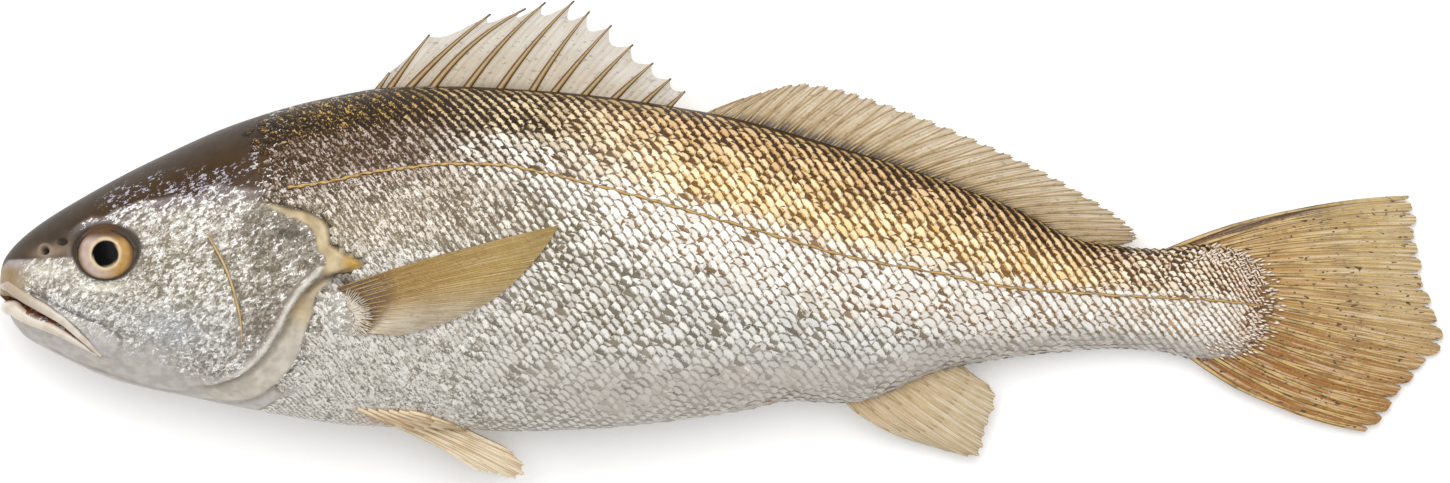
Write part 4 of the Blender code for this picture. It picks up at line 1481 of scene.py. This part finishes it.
class FinPlans:
    """Where each fin's rays start and end, and its colours."""

    spines: tuple[tuple[float, float, float, float], ...] = (
        (109, 113, 57.8, 0), (112.6, 124.6, 68.8, 0.3), (117.6, 142.3, 74.8, 1), (125, 152.5, 76.4, 2.6),
        (135, 158.2, 78.2, 1.4), (144.6, 166.5, 78.6, 1.2), (154.2, 171, 75.6, 0.8), (160, 177.4, 71.6, 0.5),
        (168.6, 183.6, 66, 0.4), (176.8, 189.4, 60.6, 0.3), (185.4, 194.6, 56.1, 0.2), (192.8, 198.7, 52.4, 0.1),
    )
    soft_tips = Track((
        (215.2, 50.2), (224.8, 53.4), (233.2, 55.2), (243.9, 53.6), (252, 51.2), (263, 47.3), (274.3, 42.9),
        (286.2, 37.7), (296, 33.2), (306, 28.2), (316, 22.4), (324.8, 16.8), (330, 12.2), (330.9, 9.6),
        (326, 8),
    ))
    tail_root = Track(((337, 5.4), (349, 5.2), (356, 0.6), (359, -6), (359, -12), (354, -19.4), (345, -24)))
    tail_tips = Track((
        (409.2, 22.3), (411.8, 18.4), (412.1, 12.3), (412.4, 7.3), (413.3, 0.3), (415, -5.8), (418.5, -12.8),
        (420.2, -20), (415.3, -25.8), (410.4, -31.4), (406.6, -36.5), (401.9, -42.4), (397.3, -47),
    ))
    tail_notches = (0.0, 0.02, 0.006, 0.026, 0.012)
    anal_tips = Track((
        (268.3, -49.9), (276, -52.4), (283, -54.2), (285.4, -51.6), (285.8, -47.3), (287.1, -43.4),
        (289.3, -37.6), (287.7, -33.6), (282.4, -30.2),
    ))
    pelvic_tips = Track(((138.4, -57.6), (151, -60.2), (152.8, -57.4), (150, -53), (139, -47.6)))
    pectoral_base = Track(((98.4, -4.6), (101.6, -6.8), (104.2, -9.4), (105.6, -12.2), (105.8, -15), (104.8, -17.2)))
    pectoral_tips = Track(((162.4, 13.6), (160, 9.4), (155, 3), (146, -6), (136, -12), (126, -16), (116, -18.4)))

    @classmethod
    def spiny(cls) -> Fin:
        """The front back fin."""
        roots, tips, bows = [], [], []
        for base, tip_x, tip_y, bow in cls.spines:
            back, middle = float(BODY.back(base)), float(BODY.middle(base))
            roots.append((base - 1.7, back - 3.5, middle))
            tips.append((tip_x, tip_y, middle - 4 * (tip_y - back) / 25))
            bows.append(bow)
        return Fin(
            "spiny_fin", np.array(roots), np.array(tips), np.array(bows),
            shades((198, 184, 162), (214, 208, 198), (130, 106, 72)), (204, 170, 108), (92, 64, 30), rows=24,
            between=6, ray_size=(1.3, 0.28), scallop=0.13, reach=0.97, flecks=0.35, ribs=0.15, ripple=0.5,
            ray_sides=4, ray_edge=0.36, blotches=0.2, strands=0.15,
        )

    @classmethod
    def soft(cls) -> Fin:
        """The rear back fin."""
        share = np.linspace(0, 1, 28)
        base = 202 + share * 114
        middle = BODY.middle(base)
        roots = np.column_stack((base - 2, BODY.back(base) - 4, middle))
        tips = np.column_stack((cls.soft_tips(share), middle - 2))
        return Fin(
            "soft_fin", roots, tips, np.full(28, 0.6),
            shades((194, 168, 124), (214, 198, 172), (80, 58, 34), foot=(0.22, 0.42)),
            (188, 158, 108), (106, 78, 42), rows=18, between=4, ray_size=(0.5, 0.2), scallop=0.06, reach=0.98,
            forks=1, flecks=0.3, ribs=0.2, strands=0.45,
        )

    @classmethod
    def tail(cls) -> Fin:
        """The tail fin."""
        count = 17
        share = np.linspace(0, 1, count)
        root = cls.tail_root(share)
        notch = np.array([cls.tail_notches[k % 5] for k in range(count)])[:, None]
        tip = cls.tail_tips(share)
        tip = tip * (1 - notch) + root * notch
        roots = np.column_stack((root, BODY.middle(root[:, 0])))
        tips = np.column_stack((tip, BODY.middle(tip[:, 0])))
        bows = 3.6 * (1 - share) ** 3 - 3.6 * share**3
        return Fin(
            "tail_fin", roots, tips, bows,
            shades((200, 158, 88), (206, 184, 142), (146, 98, 46), (170, 116, 32), (96, 64, 28)), (210, 178, 114),
            (84, 56, 24), rows=34, between=12, ray_size=(0.75, 0.22), scallop=0.055, slit=14, forks=2, flecks=0.95,
            ribs=0.4, strands=0.6,
        )

    @classmethod
    def anal(cls) -> Fin:
        """The fin behind the vent."""
        share = np.linspace(0, 1, 11)
        root = np.column_stack((242.6 + 32.4 * share, -34.6 + 11 * share))
        roots = np.column_stack((root, BODY.middle(root[:, 0])))
        tips = np.column_stack((cls.anal_tips(share), 5 + 3 * share))
        return Fin(
            "anal_fin", roots, tips, -2.6 * (1 - share) ** 3,
            shades((220, 198, 160), (226, 214, 192), (204, 160, 108)), (216, 194, 154), (176, 146, 100), rows=22,
            between=8, ray_size=(0.55, 0.2), scallop=0.03, forks=2, flecks=0.0, ribs=0.12, blotches=0.15, strands=0.4,
        )

    @classmethod
    def pelvic(cls, side: Side) -> Fin:
        """One of the belly fins. The lower one is tucked under the upper one.

        Args:
            side: The flank.

        Returns:
            The fin.
        """
        share = np.linspace(0, 1, 6)
        root = np.column_stack((104 + 15 * share, -39.4 - share))
        reach = 1.0 if side is Side.LEFT else 0.94
        tip = root * (1 - reach) + cls.pelvic_tips(share) * reach
        out = 10.9 if side is Side.LEFT else -5.0
        roots = np.column_stack((root, BODY.middle(root[:, 0]) + out))
        tips = np.column_stack((tip, np.full(6, 9.0 if side is Side.LEFT else 3.0)))
        return Fin(
            f"pelvic_fin_{side.word}", roots, tips, np.full(6, 0.8),
            shades((232, 212, 178), (242, 232, 212), (192, 126, 66)), (238, 220, 188), (190, 154, 106), rows=22,
            between=8, ray_size=(0.75, 0.22), scallop=0.03, forks=2, flecks=0.0, ribs=0.12, blotches=0.15,
            strands=0.4,
            clear_of_skin=side is Side.LEFT,
        )

    @classmethod
    def pectoral(cls, side: Side) -> Fin:
        """One of the side fins, which lies back along its flank.

        Args:
            side: The flank.

        Returns:
            The fin.
        """
        share = np.linspace(0, 1, 15)
        base = cls.pectoral_base(share)
        tip = cls.pectoral_tips(share)
        flat = np.zeros((15, 1))
        return Fin(
            f"pectoral_fin_{side.word}", np.hstack((base, flat)), np.hstack((tip, flat)), 0.9 * (1 - share),
            shades((166, 130, 52), (182, 152, 80), (112, 82, 54), (242, 230, 208), foot=(0.1, 0.3)), (178, 146, 72),
            (112, 84, 38), rows=28, between=6, ray_size=(0.26, 0.12), forks=1, flecks=0.25, over_flank=side,
            lift=0.75 if side is Side.LEFT else 0.3, ripple=0.0, ribs=0.25, strands=0.35, sheer=0.5,
        )


@dataclass(frozen=True)
class StainAndShade:
    """A soft spot of colour on the scales, used both for real stains and for painted shade: its middle, reach, colour
    and strength.
    """

    x: float
    y: float
    wide: float
    high: float
    colour: tuple[int, int, int]
    weight: float


@dataclass
class ScaleCoat:
    """The overlapping scales of one flank, in rows that follow the lateral line."""

    side: Side
    pitch: Curve = field(default_factory=lambda: Curve((
        (60, 1.7), (95, 1.9), (120, 2.4), (150, 2.9), (190, 3.3), (290, 3.1), (335, 2.5), (352, 2.0), (366, 1.3),
    )))
    row_share: float = 0.7
    length: float = 1.66
    width: float = 1.5
    corners: int = 8
    roll: float = 0.1
    rise: float = 0.24
    lean: float = 0.22
    table_gap: float = 0.5
    stains_and_shade: tuple[StainAndShade, ...] = (
        # Painted shade: a dark spot in the hollow above the pectoral fin's root; the other two are the real orange of
        # the belly fins' base and the vent.
        StainAndShade(100.5, -2.6, 3.6, 2.2, (74, 52, 30), 0.95),
        StainAndShade(114.0, -42.5, 9.0, 1.8, (206, 160, 108), 0.7),
        StainAndShade(223.3, -38.0, 2.0, 1.0, (176, 112, 84), 0.8),
    )

    def plate(self) -> tuple[Array, list[tuple[int, ...]]]:
        """Models one scale.

        Returns:
            Its points as shares of half its length, half its width and its rise, and its faces.
        """
        Stage.deselect()
        bpy.ops.mesh.primitive_circle_add(vertices=self.corners, radius=1, fill_type="TRIFAN")
        scale = bpy.context.object
        points = Stage.read(scale)
        faces = [tuple(face.vertices) for face in scale.data.polygons]
        bpy.data.objects.remove(scale)
        radius = np.hypot(points[:, 0], points[:, 1])
        middle = radius < 0.1
        points[:, 1] *= np.where(points[:, 0] < -0.2, 0.8, 1.0)
        corner = (points[:, 0] > 0.3) & (points[:, 0] < 0.9)
        points[corner, 1] *= 0.86
        points[(np.abs(points[:, 0]) < 0.3) & (np.abs(points[:, 1]) > 0.5), 0] = 0.25
        points[:, 2] = np.where(middle, 0.75, 0.1 + 0.16 * points[:, 0])
        points[:, 0] = np.where(middle, 0.3, points[:, 0])
        rim = sorted(np.flatnonzero(~middle), key=lambda i: math.atan2(points[i, 1], points[i, 0]))
        low = points[rim].copy()
        low[:, 2] -= 0.5
        low[:, :2] *= 0.92
        first = len(points)
        count = len(rim)
        for k in range(count):
            after = (k + 1) % count
            faces.append((rim[k], first + k, first + after, rim[after]))
        faces.append(tuple(first + k for k in reversed(range(count))))
        return np.vstack((points, low)), faces

    def lattice(self) -> tuple[Array, Array]:
        """Places of the scales.

        Returns:
            The distance behind the snout and the turn round the section of each scale.
        """
        line = MARKS.lateral_line
        fine = np.linspace(0.04, math.pi - 0.04, 300)
        spots = []
        x = 64.0
        column = 0
        while x < 366.5:
            pitch = float(self.pitch(x))
            gap = pitch * self.row_share
            ring = BODY.point(np.full(len(fine), x), fine)
            travel = np.concatenate(((0,), np.cumsum(np.linalg.norm(np.diff(ring, axis=0), axis=1))))
            zero = np.interp(np.interp(x, line[:, 0], line[:, 1]), ring[:, 1], travel)
            for row in range(math.ceil(-zero / gap), math.floor((travel[-1] - zero) / gap) + 1):
                if (row + column) % 2 == 0:
                    spots.append((x, np.interp(zero + row * gap, travel, fine)))
            x += pitch / 2
            column += 1
        found = np.array(spots)
        return found[:, 0], found[:, 1]

    def make(self) -> bpy.types.Object:
        """Builds the piece."""
        sign = self.side.value
        x, turn = self.lattice()
        plan = BODY.point(x, turn)[:, :2]
        share = BODY.share(plan[:, 0], plan[:, 1])
        lobe = PectoralLobe.outline()
        keep = (gap_behind(plan) > 0) & (share > 0.002) & (share < 0.988) & (inside_distance(lobe, plan) < 0.2)
        rng = np.random.default_rng(SEED + sign)
        keep &= rng.random(len(x)) > 0.5 * ramp(358, 371, x) + (1 - ramp(70, 92, x)) * (share > 0.62)
        x, turn, share = x[keep], turn[keep] * sign, share[keep]
        here = BODY.point(x, turn)
        here[:, 2] = np.maximum(here[:, 2], self.table_gap)
        along = BODY.point(x + 0.5, turn) - BODY.point(x - 0.5, turn)
        along /= np.linalg.norm(along, axis=1, keepdims=True)
        across = (BODY.point(x, turn + 0.01) - BODY.point(x, turn - 0.01)) * sign
        across /= np.maximum(np.linalg.norm(across, axis=1, keepdims=True), 1e-9)
        up = np.cross(along, across) * sign
        up /= np.linalg.norm(up, axis=1, keepdims=True)

        points, faces = self.plate()
        size = self.pitch(x) * (1 + rng.normal(0, 0.06, len(x)))
        u, v = points[:, 0], points[:, 1]
        long = (u - self.lean * v)[None, :] * size[:, None] * self.length / 2
        wide = v[None, :] * size[:, None] * self.width / 2
        quiet = (1 - 0.8 * ramp(0.88, 0.97, share) - 0.8 * (1 - ramp(0.03, 0.12, share)))[:, None]
        quiet = quiet * (0.45 + 0.55 * ramp(115, 150, x))[:, None]
        roll = rng.normal(0, self.roll, len(x))[:, None] * quiet
        pitch = rng.normal(0, self.roll * 0.6, len(x))[:, None] * quiet
        flat = (0.4 + 0.6 * ramp(0.05, 0.24, share))[:, None]
        height = points[None, :, 2] * self.rise * flat * (size[:, None] / 3) + roll * wide
        height = height + (0.05 * quiet + pitch) * long + 0.1
        places = (
            here[:, None, :] + along[:, None, :] * long[..., None] + across[:, None, :] * wide[..., None]
            + up[:, None, :] * height[..., None]
        ).reshape(-1, 3)
        places[:, 2] = np.maximum(places[:, 2], 0.05)
        count = len(points)
        made = [tuple(i + n * count for i in face) for n in range(len(x)) for face in faces]
        mesh = bpy.data.meshes.new(f"scales_{self.side.word}")
        mesh.from_pydata(((places + ORIGIN_SHIFT) * MM).tolist(), [], made)
        piece = bpy.data.objects.new(mesh.name, mesh)
        bpy.context.scene.collection.objects.link(piece)

        core, middle, gap, facet = flank_colours(x, share)
        for tint_spot in self.stains_and_shade:
            away = ((x - tint_spot.x) / tint_spot.wide) ** 2 + ((here[:, 1] - tint_spot.y) / tint_spot.high) ** 2
            near = tint_spot.weight * np.exp(-away)
            colour = srgb(*tint_spot.colour)
            core = blend(core, colour, near)
            middle = blend(middle, colour * 0.8, near)
            gap = blend(gap, colour * 0.6, near)
        core = blend(core, middle, 0.55 * rng.random(len(x)) ** 2)
        middle = middle * np.exp(rng.normal(0, 0.12, len(x)))[:, None]
        gap = gap * np.exp(rng.normal(0, 0.15, len(x)))[:, None]
        facet = facet + rng.normal(0, 0.1, len(x))
        net = 0.25 + 0.75 * ramp(122, 160, x + 20 * ramp(0.65, 0.9, share))
        for name, values in (("core", core), ("middle", middle), ("gap", gap), ("facet", facet), ("net", net)):
            Stage.paint(piece, name, np.repeat(values, count, axis=0))
        Stage.paint(piece, "u", np.tile(points[:, 0], len(x)))
        Stage.paint(piece, "v", np.tile(points[:, 1], len(x)))
        Stage.close(piece, 0.0001)
        Stage.smooth(piece, 50)
        Stage.settle(piece, ScaleFinish().make(), "fish_skin")
        return piece


@dataclass
class LateralLine:
    """The row of pored scales along one flank, a fine golden ridge."""

    side: Side

    def make(self) -> bpy.types.Object:
        """Builds the piece."""
        plan = Track(tuple(map(tuple, MARKS.lateral_line[::3]))).points(230)
        steps = np.arange(len(plan))
        plan = plan + np.stack((np.zeros(len(plan)), 0.15 * np.sin(steps * 1.3)), axis=1)
        line = BODY.over(plan, self.side, 0.66)
        size = (0.6 - 0.2 * steps / len(plan)) * (0.8 + 0.4 * np.sin(steps * 1.7))
        piece = Stage.rods(f"lateral_line_{self.side.word}", [line], [size])
        Stage.shade_sides(piece)
        Stage.smooth(piece)
        finish = RayFinish("pored_line", (206, 168, 98), (128, 92, 44), 0.6)
        Stage.settle(piece, finish.make(), "fish_skin")
        return piece


@dataclass
class Lip:
    """A rolled lip round the front of one jaw, from one corner of the mouth to the other."""

    name: str
    path: Points
    radii: tuple[float, ...]
    front: tuple[int, int, int]
    corner: tuple[int, int, int]
    sink: float = 0.7
    bow: float = 0.6
    count: int = 34

    def make(self) -> bpy.types.Object:
        """Builds the piece."""
        share = np.linspace(0, 1, self.count)
        plan = Track(self.path)(share)
        last = len(self.radii) - 1
        radius = Curve([(i / last, r) for i, r in enumerate(self.radii)])(share)
        left = BODY.over(plan, Side.LEFT, -self.sink * radius)
        right = BODY.over(plan, Side.RIGHT, -self.sink * radius)
        front = []
        for t in np.linspace(0, 1, 9)[1:-1]:
            middle = left[0] * (1 - t) + right[0] * t
            middle[0] -= self.bow * math.sin(math.pi * t)
            front.append(middle)
        line = np.vstack((left[::-1], front, right))
        size = np.concatenate((radius[::-1], np.full(len(front), radius[0]), radius))
        piece = Stage.rods(self.name, [line], [size], 4)
        places = Stage.read(piece) / MM - ORIGIN_SHIFT
        tint = blend(
            np.broadcast_to(srgb(*self.front), (len(places), 3)), srgb(*self.corner), ramp(2, 22, places[:, 0])
        )
        Stage.paint(piece, "tint", tint)
        Stage.smooth(piece, 80)
        Stage.settle(piece, LipFinish().make(), "fish_skin")
        return piece


@dataclass
class Eye:
    """An eyeball between its lids."""

    side: Side
    radius: float = 9.0
    depth: float = 3.5
    sink: float = 2.1

    def make(self) -> bpy.types.Object:
        """Builds the piece."""
        Stage.deselect()
        bpy.ops.mesh.primitive_uv_sphere_add(segments=72, ring_count=48, radius=1)
        piece = bpy.context.object
        piece.name = piece.data.name = f"eyeball_{self.side.word}"
        ball = Stage.read(piece)
        plan = ball[:, :2] * self.radius + np.array(MARKS.eye)
        centre = BODY.over(np.array([MARKS.eye]), self.side)[0]
        z = centre[2] + self.side.value * -self.sink + ball[:, 2] * self.depth
        slope = (BODY.over(np.array([(MARKS.eye[0], MARKS.eye[1] + 4.0)]), self.side)[0][2] - centre[2]) / 4
        lean = (BODY.over(np.array([(MARKS.eye[0] + 4.0, MARKS.eye[1])]), self.side)[0][2] - centre[2]) / 4
        z = z + slope * (plan[:, 1] - MARKS.eye[1]) * 0.6 + lean * (plan[:, 0] - MARKS.eye[0]) * 0.8
        Stage.write(piece, np.column_stack((plan, z)))
        self.paint(piece, plan)
        Stage.smooth(piece)
        Stage.settle(piece, EyeFinish().make(), "wet_eye", f"eye_{self.side.word}")
        return piece

    @staticmethod
    def paint(piece: bpy.types.Object, plan: Array) -> None:
        """Colours the pupil, its pale ring and the iris.

        Args:
            piece: The eye's front.
            plan: Its vertices in plan.
        """
        dx = plan[:, 0] - MARKS.pupil[0]
        dy = plan[:, 1] - MARKS.pupil[1]
        radius = np.hypot(dx, dy)
        front = srgb(204, 182, 168)
        rear = srgb(190, 150, 88)
        iris = blend(np.broadcast_to(front, (len(plan), 3)), rear, ramp(-3, 5, dx))
        iris = blend(iris, srgb(132, 98, 68), ramp(6.4, 8.0, radius) * 0.8)
        iris = blend(iris, srgb(84, 56, 34), ramp(3.0, 6.0, dy) * 0.9)
        tint = blend(iris, srgb(236, 216, 176), np.exp(-(((radius - 4.3) / 0.42) ** 2)))
        tint = blend(tint, srgb(4, 4, 4), 1 - ramp(3.75, 4.0, radius))
        Stage.paint(piece, "tint", tint)


@dataclass
class Fin:
    """A fin of bony rays joined by a thin sheet."""

    name: str
    roots: Array
    tips: Array
    bows: Array
    shade: Callable[[Array, Array], Array]
    ray_light: tuple[int, int, int]
    ray_dark: tuple[int, int, int]
    rows: int = 26
    between: int = 5
    thickness: float = 0.36
    ray_size: tuple[float, float] = (0.7, 0.25)
    ray_edge: float = 0.6
    scallop: float = 0.0
    slit: float = 1.0
    reach: float = 1.0
    forks: int = 0
    flecks: float = 0.4
    ribs: float = 0.3
    strands: float = 0.65
    sheer: float = 0.0
    blotches: float = 0.35
    ray_sides: int = 1
    ripple: float = 0.25
    over_flank: Side | None = None
    clear_of_skin: bool = False
    clearance: float = 1.1
    lift: float = 1.2

    def ray(self, k: int, count: int) -> Array:
        """Points along one ray from its root to its tip.

        Args:
            k: Which ray.
            count: How many points.

        Returns:
            The points in millimetres.
        """
        t = np.linspace(0, 1, count)[:, None]
        start, end = self.roots[k], self.tips[k]
        run = end - start
        across = np.array((-run[1], run[0], 0)) / max(np.hypot(run[0], run[1]), 1e-6)
        return start + run * t + across * self.bows[k] * 4 * t * (1 - t)

    def laid(self, line: Array, t: Array) -> Array:
        """Lays a line over a flank, where the fin lies on one.

        Args:
            line: The line's points.
            t: Shares of the way from root to tip.

        Returns:
            The line, moved where it has to clear the body.
        """
        if self.over_flank is None:
            if self.clear_of_skin:
                skin = BODY.over(line[:, :2], Side.LEFT, self.clearance * ramp(0, 0.08, t))
                line = np.column_stack((line[:, :2], np.maximum(line[:, 2], skin[:, 2])))
            return line
        rise = 0.2 + self.lift * ramp(0, 0.25, t) + 0.3 * t
        return BODY.over(line[:, :2], self.over_flank, rise)

    def column(self, place: float, t: Array) -> Array:
        """Points between two rays.

        Args:
            place: Which ray, where a half is the middle of a gap.
            t: Shares of the way from root to tip.

        Returns:
            The points, laid on what carries the fin.
        """
        place = min(max(place, 0.0), len(self.roots) - 1.0)
        k = min(int(place), len(self.roots) - 2)
        fine = np.linspace(0, 1, 49)
        first, second = self.ray(k, 49), self.ray(k + 1, 49)
        both = first * (1 - place + k) + second * (place - k)
        line = np.stack([np.interp(t, fine, both[:, axis]) for axis in range(3)], axis=1)
        return self.laid(line, t)

    def sag(self, place: float) -> float:
        """How far the sheet's edge falls back between two rays, 0 at a ray and 1 midway."""
        return abs(math.sin(math.pi * place)) ** self.slit

    def sheet(self) -> bpy.types.Object:
        """The sheet between the rays, with an edge that sags between their tips."""
        last = len(self.roots) - 1
        places = np.linspace(0, last, last * self.between + 1)
        columns = []
        for place in places:
            sag = self.sag(float(place))
            t = np.linspace(0, self.reach - self.scallop * sag, self.rows)
            column = self.column(float(place), t)
            column[:, 2] -= self.ripple * sag * np.linspace(0.2, 1, self.rows)
            columns.append(column)
        piece, spot = Stage.grid(f"{self.name}_sheet", np.stack(columns))
        share = spot[:, 1] / (self.rows - 1)
        across = places[spot[:, 0]]
        Stage.paint(piece, "tint", self.shade(across / last, share))
        Stage.paint(piece, "across", across)
        Stage.paint(piece, "along", share)
        if self.sheer:
            thin = ramp(0.3, 0.85, across / last) * ramp(0.2, 0.7, share) + 0.4 * ramp(0.8, 1, share)
            Stage.paint(piece, "thin", thin)
        Stage.thicken(piece, self.thickness)
        Stage.smooth(piece, 60)
        finish = SheetFinish(f"{self.name}_sheet", self.flecks, self.ribs, self.strands, self.sheer)
        Stage.settle(piece, finish.make(), "fish_skin")
        return piece

    def branch(self, k: int, start: float, end: float, inner: float, outer: float) -> tuple[Array, Array]:
        """One stretch of a ray.

        Args:
            k: Which ray.
            start: Share of the ray where it begins.
            end: Share of the ray where it ends.
            inner: How far it begins to the side, as a share of the gap between rays.
            outer: How far it ends to the side.

        Returns:
            Its points and its radii.
        """
        count = max(4, int(14 * (end - start)))
        t = np.linspace(start, end, count)
        ease = ((t - start) / (end - start)) ** 0.85
        trim = 1 - self.scallop * self.sag(outer)
        line = np.stack([
            self.column(k + inner + (outer - inner) * e, np.array((share * (1 + (trim - 1) * share),)))[0]
            for e, share in zip(ease, t)
        ])
        wide, narrow = self.ray_size
        size = narrow + (wide - narrow) * (1 - t) ** 1.2
        return line, size

    def rays(self) -> bpy.types.Object:
        """All the rays as one piece, a soft ray with its forks towards the edge."""
        last = len(self.roots) - 1
        made = []
        for k in range(last + 1):
            split = {0: 1.0, 1: 0.5, 2: 0.3}[self.forks]
            made.append(self.branch(k, 0.0, split, 0.0, 0.0))
            sides = [s for s in (-0.25, 0.25) if self.forks and 0 <= k + s <= last]
            for side in sides:
                if self.forks == 1:
                    made.append(self.branch(k, split, 1.0, 0.0, side))
                    continue
                middle = side * 0.7
                made.append(self.branch(k, split, 0.62, 0.0, middle))
                for turn in (-0.125, 0.125):
                    made.append(self.branch(k, 0.62, 1.0, middle, side + turn))
        piece = Stage.rods(f"{self.name}_rays", [m[0] for m in made], [m[1] for m in made], self.ray_sides)
        Stage.shade_sides(piece)
        Stage.smooth(piece)
        finish = RayFinish(f"{self.name}_rays", self.ray_light, self.ray_dark, self.blotches, self.ray_edge)
        Stage.settle(piece, finish.make(), "fish_skin")
        return piece

    def make(self) -> None:
        """Builds the sheet and the rays."""
        self.sheet()
        self.rays()


@dataclass(frozen=True)
class Studio:
    """A pale floor, soft light from the back's side, and the camera straight above."""

    centre: tuple[float, float, float] = (0.00134, -0.00038, 0.020)
    frame_width: float = 0.4205
    lens: float = 400.0
    sensor: float = 36.0

    def floor(self) -> None:
        """A wide plain floor just under the fish."""
        Stage.deselect()
        bpy.ops.mesh.primitive_plane_add(size=6, location=(0, 0, -0.0003))
        ground = bpy.context.object
        ground.name = "floor"
        finish = Finish("pale_floor")
        soft = finish.grain(finish.place(), 40.0)
        tone = finish.mix(soft, (0.93, 0.93, 0.93), (0.95, 0.95, 0.95))
        ground.data.materials.append(finish.finish(
            Base_Color=tone, Roughness=0.9, Specular_IOR_Level=0.1,
            Emission_Color=(1.0, 1.0, 1.0), Emission_Strength=0.13,
        ))

    def lamp(self, name: str, place: tuple[float, float, float], size: float, power: float) -> None:
        """A square soft lamp that points at the fish.

        Args:
            name: The lamp's name.
            place: Where it stands, in metres.
            size: The length of its side in metres.
            power: Its power in watts.
        """
        light = bpy.data.lights.new(name, "AREA")
        light.shape = "SQUARE"
        light.size = size
        light.energy = power
        lamp = bpy.data.objects.new(name, light)
        lamp.location = place
        lamp.rotation_euler = (Vector((0, 0, 0)) - Vector(place)).to_track_quat("-Z", "Y").to_euler()
        bpy.context.scene.collection.objects.link(lamp)

    def make(self) -> None:
        """Sets up the floor, lamps, surroundings and camera."""
        self.floor()
        self.lamp("key", (-0.12, 0.62, 1.5), 1.4, 19)
        world = bpy.data.worlds.new("studio")
        world.use_nodes = True
        world.node_tree.nodes["Background"].inputs[0].default_value = (1, 1, 1, 1)
        world.node_tree.nodes["Background"].inputs[1].default_value = 0.72
        bpy.context.scene.world = world
        bpy.context.scene.view_settings.view_transform = "Standard"
        data = bpy.data.cameras.new("camera")
        data.lens = self.lens
        data.sensor_width = self.sensor
        camera = bpy.data.objects.new("camera", data)
        distance = self.frame_width * self.lens / self.sensor
        camera.location = Vector(self.centre) + Vector((0, 0, distance))
        data.clip_end = 100.0
        bpy.context.scene.collection.objects.link(camera)
        bpy.context.scene.camera = camera


def main() -> None:
    """Builds every piece in order."""
    logging.basicConfig(level=logging.INFO, format="%(name)s: %(message)s")
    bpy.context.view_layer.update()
    Studio().make()
    Skin("head_skin", 0.0, 108.0, 200, 440, 1.35).make()
    Skin("trunk_skin", 99.0, 371.0, 110, 140, 1.0, 0.7).make()
    for side in Side:
        ScaleCoat(side).make()
        LateralLine(side).make()
        Eye(side).make()
        PectoralLobe(side).make()
        TailFringe(side).make()
        FinPlans.pectoral(side).make()
        FinPlans.pelvic(side).make()
        Welt("cheek_ridge", side, MARKS.cheek_edge[3:45], (0.15, 0.42, 0.46, 0.46, 0.4, 0.15),
             (206, 178, 122), (132, 100, 58), 1.1).make()
        Welt("gill_rim", side, MARKS.bone_edge[30:66] + np.array((-0.9, 0.3)), (0.15, 0.5, 0.65, 0.55, 0.35, 0.15),
             (255, 253, 248), (238, 230, 214), 0.4).make()
    Lip("upper_lip",
        ((3.2, -4.2), (5.8, -5.9), (8.7, -7.7), (14.5, -10.9), (19.1, -13.8), (23.2, -17.8),
         (27.6, -21.8), (29.9, -24.1)),
        (1.8, 1.9, 1.9, 1.9, 1.7, 1.2, 0.9, 0.6), (182, 164, 142), (228, 218, 204), bow=1.5).make()
    Lip("lower_lip",
        ((4.5, -10.3), (6.2, -11.9), (8.7, -13.4), (11.6, -14.6), (14.5, -15.8), (20.3, -18.8),
         (26.1, -22.4), (28.6, -24)),
        (2.2, 2.1, 1.9, 1.8, 1.7, 1.2, 0.6, 0.4), (232, 220, 204), (222, 212, 198), bow=2.0).make()
    for plan in (FinPlans.spiny, FinPlans.soft, FinPlans.tail, FinPlans.anal):
        plan().make()


if __name__ == "__main__":
    main()
